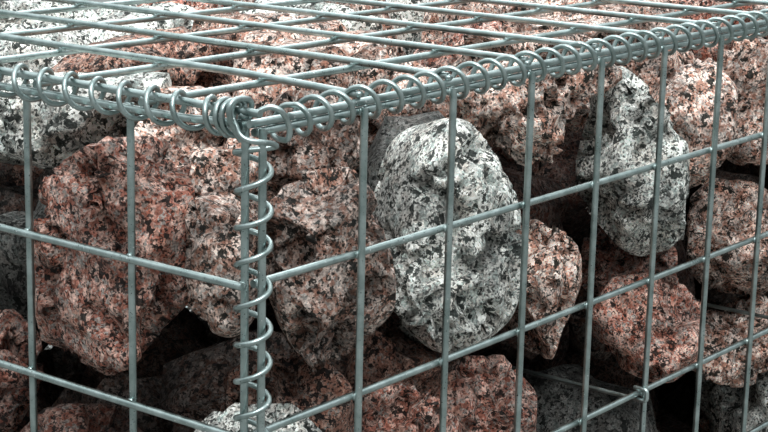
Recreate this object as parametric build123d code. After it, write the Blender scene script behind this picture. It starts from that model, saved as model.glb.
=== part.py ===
"""A gabion wall of two baskets side by side, in millimetres.

Each basket is a cage of welded wire mesh panels, bound along every edge by a
spiral of thinner wire and filled with stone. The baskets share the
cross panel between them, and the base sheet runs under both.

X runs along the wall, Y from the front to the back, and Z up from the ground.
"""

from math import atan2, ceil, cos, degrees, floor, pi, radians, sin, sqrt
import os

from build123d import *

# Mesh
mesh = 75.0
mesh_wire = 4.0
weld_sink = 0.3
meshes_long = 13
meshes_deep = 7
meshes_high = 13
lid_first_opening = 64.0

# Spirals that bind two edge wires, and the wider ones that bind three
turns_per_mesh = 4
spiral_wire = 2.8
spiral_radius = 8.1
joint_spiral_radius = 9.15
edge_wire_spacing = 8.0

# Cross ties between the front and the back
tie_wire = 3.0
tie_columns = (5, 8)
tie_rows = (3, 10)

# Clearance between pieces that rest on each other
seat = 0.3

# How many flat sides stand for a round wire, and for one turn of a spiral
mesh_wire_sides = 8
bent_wire_sides = 4
sides_of_a_turn = 8

# Sizes that follow
layer = mesh_wire - weld_sink
corner = edge_wire_spacing / 2 / sqrt(2)
length = meshes_long * mesh
depth = meshes_deep * mesh
height = meshes_high * mesh
edge_gap = mesh_wire + seat
half_wire = mesh_wire / 2
turn_pitch = mesh / turns_per_mesh

# Planes that the wires lie in, with the front left corner's axis as X and Y zero
outside = -corner - layer
inside = -corner + layer
middle = corner + length + edge_gap / 2
back_corner = 2 * corner + depth
cross_wire_level = mesh_wire + seat
sheet_level = cross_wire_level + layer
binding_level = sheet_level / 2
divider_front = inside + edge_gap
divider_side = middle + layer

# Width of a square bar with the section of a round wire, and what a spiral takes up
square_of_round = sqrt(pi) / 2
spiral_half = spiral_wire * square_of_round / sqrt(2)
turn_bulge = (1 + 1 / cos(pi / sides_of_a_turn)) / 2
joint_reach = joint_spiral_radius * turn_bulge + spiral_half
spiral_start = binding_level + joint_reach + spiral_half


def bar(start, end, diameter=mesh_wire, sides=mesh_wire_sides):
    """A straight wire with flats that face the axes."""
    start, end = Vector(*start), Vector(*end)
    section = RegularPolygon(diameter / 2, sides, major_radius=False, rotation=180 / sides)
    return Plane(origin=start, z_dir=end - start) * extrude(section, (end - start).length)


def welded(wires):
    """One mesh panel: all its wires, joined where they cross."""
    return wires[0].fuse(*wires[1:])


def bent_wire(points, diameter):
    """A wire along straight runs, mitred where they meet."""
    sides = bent_wire_sides
    corner_radius = diameter * square_of_round / 2 / cos(pi / sides)
    way = (points[1] - points[0]).normalized()
    section = Plane(origin=points[0], z_dir=way)
    ring = []
    for side in range(sides):
        angle = 2 * pi * (side + 0.5) / sides
        ring.append(section.from_local_coords(Vector(cos(angle), sin(angle), 0) * corner_radius))
    rings = [ring]
    for index in range(1, len(points)):
        way = (points[index] - points[index - 1]).normalized()
        mitre = way
        if index + 1 < len(points):
            mitre = (way + (points[index + 1] - points[index]).normalized()).normalized()
        ring = [p + way * ((points[index] - p).dot(mitre) / way.dot(mitre)) for p in ring]
        rings.append(ring)
    faces = [flat_face(rings[0]), flat_face(rings[-1])]
    for near, far in zip(rings, rings[1:]):
        for side in range(sides):
            after = (side + 1) % sides
            faces.append(flat_face([near[side], near[after], far[after], far[side]]))
    return Solid(Shell(faces))


def flat_face(corners):
    return Face(Wire.make_polygon(corners, close=True))


def leaving_angle(across, up, out_across, out_up, radius):
    """The angle at which a wire from (across, up) leaves a circle, going out."""
    aside = across * out_up - up * out_across
    along = sqrt(radius**2 - aside**2)
    return degrees(atan2(out_up * along - out_across * aside, out_across * along + out_up * aside))


def clear_angle(crossings, radius):
    """Where a strand is at the mesh line so that it stays furthest from the cross wires.

    Each crossing gives a wire's place in the circle, the way it leaves it, and how far
    past the mesh line it lies.
    """
    taken = []
    for across, up, out_across, out_up, past in crossings:
        angle = leaving_angle(across, up, out_across, out_up, radius)
        taken.append((angle - 360 * past / turn_pitch) % 360)
    taken.sort()
    taken.append(taken[0] + 360)
    widest = max(range(len(taken) - 1), key=lambda index: taken[index + 1] - taken[index])
    return (taken[widest] + taken[widest + 1]) / 2


def spiral(axis, first, last, crossings, radius=spiral_radius):
    """A right-handed binding spiral.

    The axis is a plane whose Z runs along the spiral, with its origin at a mesh line and
    its X at angle zero. It goes from first to last, measured along it from the origin.
    """
    mesh_angle = clear_angle(crossings, radius)
    step = 360 / sides_of_a_turn
    first_corner = ceil((mesh_angle + 360 * first / turn_pitch) / step)
    last_corner = floor((mesh_angle + 360 * last / turn_pitch) / step)
    points = []
    for count in range(first_corner, last_corner + 1):
        turn = radians(count * step)
        along = (count * step - mesh_angle) / 360 * turn_pitch
        outward = Vector(cos(turn), sin(turn), 0) * radius * turn_bulge
        points.append(axis.from_local_coords(outward + Vector(0, 0, along)))
    return bent_wire(points, spiral_wire)


def front_panel():
    """Upright wires outside, level wires inside, all cut flush at the edges."""
    wires = []
    for column in range(meshes_long + 1):
        x = corner + column * mesh
        wires.append(bar((x, -corner, -half_wire), (x, -corner, height + half_wire)))
    for row in range(meshes_high + 1):
        z = row * mesh
        wires.append(bar((corner - half_wire, inside, z), (corner + length + half_wire, inside, z)))
    return welded(wires)


def end_panel():
    """Level wires outside, upright wires inside."""
    wires = []
    for column in range(meshes_deep + 1):
        y = corner + column * mesh
        wires.append(bar((-corner, y, -half_wire), (-corner, y, height + half_wire)))
    for row in range(meshes_high + 1):
        z = row * mesh
        ends = corner - half_wire, corner + depth + half_wire
        wires.append(bar((outside, ends[0], z), (outside, ends[1], z)))
    return welded(wires)


def long_wire_places():
    """Where the lengthwise wires of the lids and the base lie, front to back."""
    places = [inside]
    place = inside + lid_first_opening
    while place < back_corner - inside - mesh / 2:
        places.append(place)
        place += mesh
    return places + [back_corner - inside]


def sheet(cross_places, start, end, level, up):
    """A level panel: lengthwise wires next to the fill, crosswise wires outside them."""
    wires = []
    for y in long_wire_places():
        z = level + up * cross_wire_level
        wires.append(bar((start, y, z), (end, y, z)))
    for x in cross_places:
        z = level + up * sheet_level
        wires.append(bar((x, inside, z), (x, back_corner - inside, z)))
    return welded(wires)


def lid():
    columns = [outside] + [corner + column * mesh for column in range(1, meshes_long + 1)]
    return sheet(columns, outside - half_wire, corner + length + half_wire, height, 1)


def base():
    columns = [outside] + [corner + column * mesh for column in range(1, meshes_long)]
    far_columns = [2 * middle - x for x in columns]
    far_end = 2 * middle - outside + half_wire
    return sheet(columns + [divider_side] + far_columns, outside - half_wire, far_end, 0, -1)


def divider():
    """The cross panel between the baskets, with its upright wires under the lid's wires."""
    ends = divider_front, back_corner - divider_front
    columns = [ends[0]] + long_wire_places()[1:-1] + [ends[1]]
    wires = []
    for y in columns:
        wires.append(bar((middle, y, -half_wire), (middle, y, height + half_wire)))
    for row in range(meshes_high + 1):
        z = row * mesh
        wires.append(bar((divider_side, ends[0] - half_wire, z), (divider_side, ends[1] + half_wire, z)))
    return welded(wires)


def upright_spirals():
    """A spiral up each corner, and one up each side where the baskets meet."""
    spirals = {}
    for end, x, side in (("left", 0, 1), ("right", 2 * middle, -1)):
        for face, y, way in (("front", 0, 1), ("back", back_corner, -1)):
            crossings = [
                (outside * side, corner * way, 0, way, 0),
                (corner * side, inside * way, side, 0, 0),
            ]
            axis = Plane(origin=(x, y, 0), x_dir=(1, 0, 0), z_dir=(0, 0, 1))
            spirals[f"corner_spiral_{face}_{end}"] = spiral(axis, 0, height, crossings)
    centre = (divider_front - corner) / 2
    for face, y, way in (("front", centre, 1), ("back", back_corner - centre, -1)):
        crossings = [
            (-half_wire, (inside - centre) * way, -1, 0, 0),
            (half_wire, (inside - centre) * way, 1, 0, 0),
            (layer, (divider_front - centre) * way, 0, way, 0),
        ]
        axis = Plane(origin=(middle, y, 0), x_dir=(1, 0, 0), z_dir=(0, 0, 1))
        spirals[f"joint_spiral_{face}"] = spiral(axis, 0, height, crossings, joint_spiral_radius)
    return spirals


def long_spirals():
    """Spirals along the front and back of each lid and of the base."""
    spirals = {}
    first = spiral_start - corner
    last = length + corner + edge_gap / 2 - spiral_start
    for bay, start, bay_first, bay_last in (
        (1, corner, first, last),
        (2, middle + edge_gap / 2, length - last, length - first),
    ):
        for face, y, way in (("front", inside, 1), ("back", back_corner - inside, -1)):
            for level, z, up in (("top", height, 1), ("bottom", 0, -1)):
                crossings = [
                    (0, up * (sheet_level - binding_level), way, 0, 0),
                    (way * (-corner - inside), -up * binding_level, 0, -up, 0),
                ]
                axis = Plane(origin=(start, y, z + up * binding_level), x_dir=(0, 1, 0), z_dir=(1, 0, 0))
                name = f"{level}_spiral_{face}_bay_{bay}"
                spirals[name] = spiral(axis, bay_first, bay_last, crossings)
    return spirals


def end_spirals():
    """Spirals along the ends of the lids and of the base."""
    spirals = {}
    first = spiral_start - corner
    last = depth + corner - spiral_start
    sheet_line = inside + lid_first_opening - (corner + mesh)
    for end, x, side in (("left", outside, 1), ("right", 2 * middle - outside, -1)):
        for level, z, up in (("top", height, 1), ("bottom", 0, -1)):
            crossings = [
                (up * (cross_wire_level - binding_level), 0, 0, side, sheet_line),
                (-up * binding_level, side * layer, -up, 0, 0),
            ]
            axis = Plane(origin=(x, corner, z + up * binding_level), x_dir=(0, 0, 1), z_dir=(0, 1, 0))
            spirals[f"{level}_spiral_{end}_end"] = spiral(axis, first, last, crossings)
    return spirals


def divider_spirals():
    """Spirals that bind the cross panel to the two lids and to the base."""
    first = spiral_start - inside - lid_first_opening
    last = back_corner - spiral_start - inside - lid_first_opening
    line = inside + lid_first_opening
    lids_shift = layer / 4
    low = cross_wire_level - binding_level
    top_axis = Plane(
        origin=(middle + lids_shift, line, height + binding_level), x_dir=(0, 0, 1), z_dir=(0, 1, 0)
    )
    top_crossings = [
        (low, 0, 0, 1, 0),
        (low, 0, 0, -1, 0),
        (-binding_level, -lids_shift, -1, 0, 0),
    ]
    bottom_axis = Plane(origin=(divider_side, line, -binding_level), x_dir=(0, 0, 1), z_dir=(0, 1, 0))
    bottom_crossings = [
        (-low, 0, 0, 1, 0),
        (-low, 0, 0, -1, 0),
        (binding_level, -layer, 1, 0, 0),
    ]
    return {
        "top_spiral_divider": spiral(top_axis, first, last, top_crossings, joint_spiral_radius),
        "bottom_spiral_divider": spiral(bottom_axis, first, last, bottom_crossings),
    }


def tie_step():
    """Half the height of a tie's hook: it clears the level wire that it goes round."""
    return half_wire + tie_wire / 2 + seat


def cross_ties(bay):
    """Ties through the fill, each hooked round a level wire of the front and the back."""
    ties = []
    hook = -corner - half_wire - tie_wire / 2 - seat
    tip = inside + half_wire
    for column in tie_columns:
        side = -1 if column < meshes_long / 2 else 1
        x = corner + column * mesh + side * tie_step()
        if bay == 2:
            x = 2 * middle - x
        for row in tie_rows:
            level = height - row * mesh
            low, high = level - tie_step(), level + tie_step()
            half = [(tip, high), (hook, high), (hook, low)]
            other = [(back_corner - y, z) for y, z in reversed(half)]
            ties.append(bent_wire([Vector(x, y, z) for y, z in half + other], tie_wire))
    return Compound(children=ties)


def stone_lift(bay, low, high, bevel_low, bevel_high):
    """One lift of the stone fill, between two rows of ties or against the base or lid."""
    start = -corner + half_wire + seat
    end = middle - half_wire - seat
    if bay == 2:
        start = divider_side + half_wire + seat
        end = 2 * middle + corner - half_wire - seat
    front = inside + half_wire + seat
    bevel = sqrt(2) * joint_reach
    outline = Rectangle(end - start, back_corner - 2 * front)
    outline = chamfer(outline.vertices(), bevel)
    lift = Pos((start + end) / 2, back_corner / 2, low) * extrude(outline, high - low)
    if bevel_low:
        lift = chamfer(lift.faces().sort_by(Axis.Z)[0].edges(), bevel)
    if bevel_high:
        lift = chamfer(lift.faces().sort_by(Axis.Z)[-1].edges(), bevel)
    return lift


def stone_lifts():
    lifts = {}
    fill_edge = cross_wire_level - half_wire - seat
    tie_room = tie_wire / 2 + seat
    lines = [-fill_edge]
    for row in sorted(tie_rows, reverse=True):
        lines.append(height - row * mesh - tie_step())
    lines.append(height + fill_edge)
    names = ["lower", "middle", "upper"]
    for bay in (1, 2):
        for index, (low, high) in enumerate(zip(lines, lines[1:])):
            lowest, highest = index == 0, index == len(lines) - 2
            low = low if lowest else low + tie_room
            high = high if highest else high - tie_room
            name = f"stone_fill_{names[index]}_bay_{bay}"
            lifts[name] = stone_lift(bay, low, high, lowest, highest)
    return lifts


def other_bay(piece):
    return mirror(piece, about=Plane.YZ.offset(middle))


def other_side(piece):
    return mirror(piece, about=Plane.XZ.offset(-back_corner / 2))


def gabion_wall():
    """Every piece by name, with the front left corner's axis as X and Y zero."""
    front, top = front_panel(), lid()
    back, end = other_side(front), end_panel()
    pieces = {
        "front_panel_bay_1": front,
        "front_panel_bay_2": other_bay(front),
        "back_panel_bay_1": back,
        "back_panel_bay_2": other_bay(back),
        "lid_panel_bay_1": top,
        "lid_panel_bay_2": other_bay(top),
        "base_panel": base(),
        "end_panel_left": end,
        "end_panel_right": other_bay(end),
        "divider_panel": divider(),
        "cross_ties_bay_1": cross_ties(1),
        "cross_ties_bay_2": cross_ties(2),
    }
    pieces.update(upright_spirals())
    pieces.update(long_spirals())
    pieces.update(end_spirals())
    pieces.update(divider_spirals())
    pieces.update(stone_lifts())
    return pieces


def main():
    os.makedirs("parts", exist_ok=True)
    pieces = gabion_wall()
    boxes = [piece.bounding_box() for piece in pieces.values()]
    low = [min(tuple(box.min)[axis] for box in boxes) for axis in range(3)]
    high = [max(tuple(box.max)[axis] for box in boxes) for axis in range(3)]
    on_ground = Pos(-(low[0] + high[0]) / 2, -(low[1] + high[1]) / 2, -low[2])
    for name, piece in pieces.items():
        export_step(on_ground * piece, f"parts/{name}.step", write_pcurves=False)
        print(name, len(piece.solids()), round(piece.volume))
    print("size", [round(high[axis] - low[axis], 2) for axis in range(3)], "shift", on_ground.position)


main()
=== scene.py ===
"""A gabion wall: round mesh wires, spiral binders, hooked ties and broken granite.

Metres throughout. X runs along the wall, Y from the front to the back and Z up.
Wall coordinates have the front left corner's axis as X and Y zero, and Z zero at the
lowest level wires.
"""

from math import atan2, cos, degrees, pi, radians, sin, sqrt

import bpy
import numpy as np
from mathutils import Matrix, Vector


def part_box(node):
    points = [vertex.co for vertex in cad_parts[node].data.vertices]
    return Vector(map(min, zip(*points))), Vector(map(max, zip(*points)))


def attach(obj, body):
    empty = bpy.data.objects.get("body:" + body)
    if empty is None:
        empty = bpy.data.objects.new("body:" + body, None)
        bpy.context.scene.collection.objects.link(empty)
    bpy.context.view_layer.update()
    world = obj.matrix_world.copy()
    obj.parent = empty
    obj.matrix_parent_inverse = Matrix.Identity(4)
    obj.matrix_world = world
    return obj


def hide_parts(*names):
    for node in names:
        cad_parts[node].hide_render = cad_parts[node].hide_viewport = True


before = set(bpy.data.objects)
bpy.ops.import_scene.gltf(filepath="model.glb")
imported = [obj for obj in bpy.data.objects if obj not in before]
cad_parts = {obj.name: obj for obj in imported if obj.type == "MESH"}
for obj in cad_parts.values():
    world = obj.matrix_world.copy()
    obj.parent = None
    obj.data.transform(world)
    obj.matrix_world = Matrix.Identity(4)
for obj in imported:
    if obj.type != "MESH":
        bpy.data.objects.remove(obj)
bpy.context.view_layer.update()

# Mesh
MESH = 0.075
MESH_WIRE = 0.004
WELD_SINK = 0.0003
MESHES_LONG = 13
MESHES_DEEP = 7
MESHES_HIGH = 13
LID_FIRST_OPENING = 0.064

# Spirals that bind two edge wires, and the wider ones that bind three
TURNS_PER_MESH = 4
SPIRAL_WIRE = 0.0028
SPIRAL_RADIUS = 0.0081
JOINT_SPIRAL_RADIUS = 0.00915
EDGE_WIRE_SPACING = 0.008

# Cross ties between the front and the back
TIE_WIRE = 0.003
TIE_COLUMNS = (5, 8)
TIE_ROWS = (3, 10)
TIE_BEND = 0.0022

# Clearance between pieces that rest on each other
SEAT = 0.0003

# How straight the wires are
WANDER = 0.0003
WANDER_LENGTH = 0.25

# Sizes that follow
LAYER = MESH_WIRE - WELD_SINK
HALF_WIRE = MESH_WIRE / 2
CORNER = EDGE_WIRE_SPACING / 2 / sqrt(2)
LENGTH = MESHES_LONG * MESH
DEPTH = MESHES_DEEP * MESH
HEIGHT = MESHES_HIGH * MESH
EDGE_GAP = MESH_WIRE + SEAT
TURN_PITCH = MESH / TURNS_PER_MESH

# Planes that the wires lie in, and how far from the corner's axis the level spirals start
OUTSIDE = -CORNER - LAYER
INSIDE = -CORNER + LAYER
MIDDLE = CORNER + LENGTH + EDGE_GAP / 2
BACK_CORNER = 2 * CORNER + DEPTH
CROSS_WIRE_LEVEL = MESH_WIRE + SEAT
SHEET_LEVEL = CROSS_WIRE_LEVEL + LAYER
BINDING_LEVEL = SHEET_LEVEL / 2
DIVIDER_FRONT = INSIDE + EDGE_GAP
DIVIDER_SIDE = MIDDLE + LAYER
SPIRAL_START = 0.01704

# Where wall coordinates start in the frame
panel_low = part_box("front_panel_bay_1")[0]
ORIGIN = np.array(panel_low) + HALF_WIRE + (-CORNER, CORNER, 0)

# Camera, as measured on the picture: its place from the corner of the top level wires, its
# angles, and its focal length in pixels; the sensor's width is in millimetres
CAMERA_FROM_CORNER = (-0.603, -0.540, 0.150)
CAMERA_AZIMUTH = radians(-52.44)
CAMERA_ELEVATION = radians(13.28)
CAMERA_ROLL = radians(1.39)
FOCAL_PIXELS = 1787
PICTURE_WIDTH_PIXELS = 768
SENSOR = 36
NEAREST_SEEN = 0.01

X = np.array([1.0, 0.0, 0.0])
Y = np.array([0.0, 1.0, 0.0])
Z = np.array([0.0, 0.0, 1.0])


# Colours

def srgb(red, green, blue):
    """A screen colour, 0 to 255, as the linear colour that a shader takes."""
    linear = []
    for value in (red, green, blue):
        value /= 255
        linear.append(value / 12.92 if value <= 0.04045 else ((value + 0.055) / 1.055) ** 2.4)
    return (*linear, 1.0)


# Node trees

def feed(tree, socket, value):
    """Links a value that another node gives, or sets a plain one."""
    if isinstance(value, bpy.types.NodeSocket):
        tree.links.new(value, socket)
    else:
        socket.default_value = value


def add(tree, kind, settings=None, **inputs):
    """A node, with its settings and its inputs by name, or by place such as i0."""
    made = tree.nodes.new(kind)
    for name, value in (settings or {}).items():
        setattr(made, name, value)
    for name, value in inputs.items():
        place = int(name[1:]) if name[1:].isdigit() else name.replace("_", " ")
        feed(tree, made.inputs[place], value)
    return made


def tree_with(kind, name, inputs, outputs):
    """A node tree, its input node's sockets and its output node's."""
    tree = bpy.data.node_groups.new(name, kind)
    for socket, socket_kind in inputs:
        tree.interface.new_socket(socket, in_out="INPUT", socket_type=socket_kind)
    for socket, socket_kind in outputs:
        tree.interface.new_socket(socket, in_out="OUTPUT", socket_type=socket_kind)
    given = tree.nodes.new("NodeGroupInput").outputs
    return tree, given, tree.nodes.new("NodeGroupOutput").inputs


def maths(tree, operation, first, second):
    settings = {"operation": operation}
    return add(tree, "ShaderNodeMath", settings, i0=first, i1=second).outputs[0]


def times(tree, first, second):
    return maths(tree, "MULTIPLY", first, second)


def divided(tree, first, second):
    return maths(tree, "DIVIDE", first, second)


def plus(tree, first, second):
    return maths(tree, "ADD", first, second)


def minus(tree, first, second):
    return maths(tree, "SUBTRACT", first, second)


def vector_maths(tree, operation, first, second):
    settings = {"operation": operation}
    return add(tree, "ShaderNodeVectorMath", settings, i0=first, i1=second).outputs[0]


def dot_product(tree, first, second):
    settings = {"operation": "DOT_PRODUCT"}
    made = add(tree, "ShaderNodeVectorMath", settings, i0=first, i1=second)
    return made.outputs["Value"]


def scaled(tree, vector, factor):
    settings = {"operation": "SCALE"}
    return add(tree, "ShaderNodeVectorMath", settings, i0=vector, Scale=factor).outputs[0]


def mixed(tree, factor, first, second, blend="MIX"):
    settings = {"data_type": "RGBA", "blend_type": blend}
    return add(tree, "ShaderNodeMix", settings, i0=factor, i6=first, i7=second).outputs[2]


def ranged(tree, value, low, high, to_low=0.0, to_high=1.0):
    """Goes smoothly from to_low to to_high as a value goes from low to high."""
    settings = {"interpolation_type": "SMOOTHSTEP"}
    limits = {"i1": low, "i2": high, "i3": to_low, "i4": to_high}
    return add(tree, "ShaderNodeMapRange", settings, Value=value, **limits).outputs[0]


def blend_of(tree, first, second, share):
    """The first value, with a share of the second in its place."""
    return plus(tree, times(tree, first, 1 - share), times(tree, second, share))


def noise(tree, vector, scale, detail, roughness, **settings):
    """Smooth random values, with so many waves to a metre."""
    values = {"Vector": vector, "Scale": scale, "Detail": detail, "Roughness": roughness}
    return add(tree, "ShaderNodeTexNoise", settings, **values).outputs


def cells(tree, vector, scale):
    """Irregular cells, each with its own colour and middle."""
    return add(tree, "ShaderNodeTexVoronoi", Vector=vector, Scale=scale).outputs


def random_shift(tree, field, amount):
    """A random vector from noise, about nought and up to half the amount each way."""
    centred = vector_maths(tree, "SUBTRACT", field["Color"], (0.5, 0.5, 0.5))
    return scaled(tree, centred, amount)


def attribute(tree, name, kind):
    settings = {"data_type": kind}
    return add(tree, "GeometryNodeInputNamedAttribute", settings, Name=name).outputs[0]


def shaded_smooth(tree, geometry):
    settings = {"domain": "FACE"}
    return add(tree, "GeometryNodeSetShadeSmooth", settings, Geometry=geometry).outputs[0]


def made_real(tree, geometry):
    return add(tree, "GeometryNodeRealizeInstances", Geometry=geometry).outputs[0]


# Geometry trees for the wires

GEOMETRY = ("Geometry", "NodeSocketGeometry")
WIRE_INPUTS = [
    GEOMETRY,
    ("Wire", "NodeSocketFloat"),
    ("Sides", "NodeSocketInt"),
    ("Wander", "NodeSocketFloat"),
    ("Material", "NodeSocketMaterial"),
]

# The edge of a cut end: faces that meet more sharply than this aren't smoothed
RIM_ANGLE = radians(60)

# How finely a weld bead is modelled
BEAD_SEGMENTS = 6
BEAD_RINGS = 4


def wander_tree():
    """The slight bow that all the wires share."""
    inputs = [("Amount", "NodeSocketFloat"), ("Wave length", "NodeSocketFloat")]
    outputs = [("Offset", "NodeSocketVector")]
    tree, given, out = tree_with("GeometryNodeTree", "wander", inputs, outputs)
    position = tree.nodes.new("GeometryNodeInputPosition").outputs[0]
    scale = divided(tree, 1.0, given["Wave length"])
    field = noise(tree, position, scale, 1.0, 0.5)
    offset = random_shift(tree, field, times(tree, given["Amount"], 2.0))
    tree.links.new(offset, out["Offset"])
    return tree


def round_wire(tree, given, curve, wander):
    """Sweeps a round section along curves, with flat cut ends."""
    bend = {"Amount": given["Wander"], "Wave length": WANDER_LENGTH}
    bow = add(tree, "GeometryNodeGroup", {"node_tree": wander}, **bend).outputs[0]
    moved = add(tree, "GeometryNodeSetPosition", Geometry=curve, Offset=bow).outputs[0]
    ring = {"Resolution": given["Sides"], "Radius": divided(tree, given["Wire"], 2.0)}
    section = add(tree, "GeometryNodeCurvePrimitiveCircle", **ring).outputs[0]
    sweep = {"Curve": moved, "Profile Curve": section, "Fill Caps": True}
    swept = add(tree, "GeometryNodeCurveToMesh", **sweep).outputs[0]
    angle = tree.nodes.new("GeometryNodeInputMeshEdgeAngle").outputs[0]
    above = {"operation": "GREATER_THAN"}
    rim = add(tree, "FunctionNodeCompare", above, i0=angle, i1=RIM_ANGLE).outputs[0]
    sharp = {"Geometry": shaded_smooth(tree, swept), "Selection": rim, "Shade Smooth": False}
    return add(tree, "GeometryNodeSetShadeSmooth", {"domain": "EDGE"}, **sharp).outputs[0], bow


def finish_tree(tree, out, geometry, material):
    coat = {"Geometry": made_real(tree, geometry), "Material": material}
    coated = add(tree, "GeometryNodeSetMaterial", **coat)
    tree.links.new(coated.outputs[0], out["Geometry"])


def bent_wire_tree(wander):
    """A round wire along each run of edges."""
    tree, given, out = tree_with("GeometryNodeTree", "bent_wire", WIRE_INPUTS, [GEOMETRY])
    curve = add(tree, "GeometryNodeMeshToCurve", Mesh=given["Geometry"]).outputs[0]
    wire, _ = round_wire(tree, given, curve, wander)
    finish_tree(tree, out, wire, given["Material"])
    return tree


def weld_beads(tree, given, bow):
    """A bead at each point that is marked as a weld, moved as the wires are."""
    ball = {"Segments": BEAD_SEGMENTS, "Rings": BEAD_RINGS, "Radius": 1.0}
    bead = add(tree, "GeometryNodeMeshUVSphere", **ball).outputs[0]
    spread = {
        "Points": given["Geometry"],
        "Selection": attribute(tree, "weld", "BOOLEAN"),
        "Instance": bead,
        "Scale": given["Bead"],
    }
    beads = made_real(tree, add(tree, "GeometryNodeInstanceOnPoints", **spread).outputs[0])
    moved = add(tree, "GeometryNodeSetPosition", Geometry=beads, Offset=bow).outputs[0]
    return shaded_smooth(tree, moved)


def welded_mesh_tree(wander):
    """Straight round wires along edges, with a weld bead at each loose point."""
    inputs = WIRE_INPUTS + [("Step", "NodeSocketFloat"), ("Bead", "NodeSocketVector")]
    tree, given, out = tree_with("GeometryNodeTree", "welded_mesh", inputs, [GEOMETRY])
    curve = add(tree, "GeometryNodeMeshToCurve", Mesh=given["Geometry"]).outputs[0]
    stretch = {"Curve": curve, "Length": given["Step"]}
    runs = add(tree, "GeometryNodeResampleCurve", {"mode": "LENGTH"}, **stretch).outputs[0]
    wire, bow = round_wire(tree, given, runs, wander)
    both = tree.nodes.new("GeometryNodeJoinGeometry")
    tree.links.new(weld_beads(tree, given, bow), both.inputs[0])
    tree.links.new(wire, both.inputs[0])
    finish_tree(tree, out, both.outputs[0], given["Material"])
    return tree


def run_tree(tree, mesh, name, values):
    """The plain mesh that a tree makes of a layout, as an object at the origin."""
    layout = bpy.data.objects.new(name + "_layout", mesh)
    bpy.context.scene.collection.objects.link(layout)
    modifier = layout.modifiers.new("shape", "NODES")
    modifier.node_group = tree
    for item in tree.interface.items_tree:
        if item.item_type == "SOCKET" and item.in_out == "INPUT" and item.name in values:
            modifier[item.identifier] = values[item.name]
    evaluated = layout.evaluated_get(bpy.context.evaluated_depsgraph_get())
    result = bpy.data.meshes.new_from_object(evaluated)
    result.name = name
    bpy.data.objects.remove(layout)
    piece = bpy.data.objects.new(name, result)
    bpy.context.scene.collection.objects.link(piece)
    return piece


def layout_mesh(name, runs, welds=()):
    """Centre lines as edges, and welds as loose points."""
    points = [point for run in runs for point in run]
    edges = []
    first = 0
    for run in runs:
        edges.extend((first + index, first + index + 1) for index in range(len(run) - 1))
        first += len(run)
    points.extend(welds)
    mesh = bpy.data.meshes.new(name)
    mesh.from_pydata((np.array(points) + ORIGIN).tolist(), edges, [])
    marks = mesh.attributes.new("weld", "BOOLEAN", "POINT")
    marks.data.foreach_set("value", [index >= first for index in range(len(points))])
    return mesh


def keep(piece, node):
    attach(piece, "root")
    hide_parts(node)


# Where the mesh wires lie, and where the front ends of the end's two top wires stick out
TOP_WIRE_END = (-0.003, HEIGHT + 0.0025)
TOP_WIRE_LEVEL_FROM = 0.04
LID_WIRE_END = -0.0095

# How far the long top edges sag at the corners, over what length that fades, in how many
# points it is drawn, and how much of it is left in the lid half a mesh further in
EDGE_SAG = 0.0029
EDGE_SAG_LENGTH = 0.16
EDGE_SAG_POINTS = 27
SAG_LEFT_HALFWAY = 0.4


def edge_sag(x):
    """How far the top edge hangs down at a place along the wall."""
    nearest = np.maximum(np.minimum(x, 2 * MIDDLE - x), 0)
    return EDGE_SAG * np.exp(-((nearest / EDGE_SAG_LENGTH) ** 2))


def sagging_edge(ends, y, z):
    return [(x, y, z - edge_sag(x)) for x in np.linspace(*ends, EDGE_SAG_POINTS)]


def front_wires():
    columns = [CORNER + column * MESH for column in range(MESHES_LONG + 1)]
    rows = [row * MESH for row in range(MESHES_HIGH + 1)]
    runs = [[(x, -CORNER, -HALF_WIRE), (x, -CORNER, HEIGHT + HALF_WIRE - edge_sag(x))] for x in columns]
    ends = CORNER - HALF_WIRE, CORNER + LENGTH + HALF_WIRE
    runs += [[(ends[0], INSIDE, z), (ends[1], INSIDE, z)] for z in rows[:-1]]
    runs.append(sagging_edge(ends, INSIDE, HEIGHT))
    welds = [(x, (INSIDE - CORNER) / 2, z) for x in columns for z in rows[:-1]]
    welds += [(x, (INSIDE - CORNER) / 2, HEIGHT - edge_sag(x)) for x in columns]
    return runs, welds


def end_wires():
    columns = [CORNER + column * MESH for column in range(MESHES_DEEP + 1)]
    rows = [row * MESH for row in range(MESHES_HIGH + 1)]
    runs = [[(-CORNER, y, -HALF_WIRE), (-CORNER, y, HEIGHT + HALF_WIRE)] for y in columns]
    ends = CORNER - HALF_WIRE, CORNER + DEPTH + HALF_WIRE
    runs += [[(OUTSIDE, ends[0], z), (OUTSIDE, ends[1], z)] for z in rows]
    top_wire = [TOP_WIRE_END, (TOP_WIRE_LEVEL_FROM, HEIGHT), (ends[1], HEIGHT)]
    runs[-1] = [(OUTSIDE, *place) for place in top_wire]
    welds = [((OUTSIDE - CORNER) / 2, y, z) for y in columns for z in rows]
    return runs, welds


def long_wire_places():
    """Where the lengthwise wires of the lids and the base lie, front to back."""
    places = [INSIDE]
    place = INSIDE + LID_FIRST_OPENING
    while place < BACK_CORNER - INSIDE - MESH / 2:
        places.append(place)
        place += MESH
    return places + [BACK_CORNER - INSIDE]


def sheet_wires(columns, start, end, level, up):
    near = level + up * CROSS_WIRE_LEVEL
    far = level + up * SHEET_LEVEL
    rows = long_wire_places()
    runs = [[(start, y, near), (end, y, near)] for y in rows]
    runs += [[(x, INSIDE, far), (x, BACK_CORNER - INSIDE, far)] for x in columns]
    welds = [(x, y, (near + far) / 2) for x in columns for y in rows]
    return runs, welds


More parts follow.
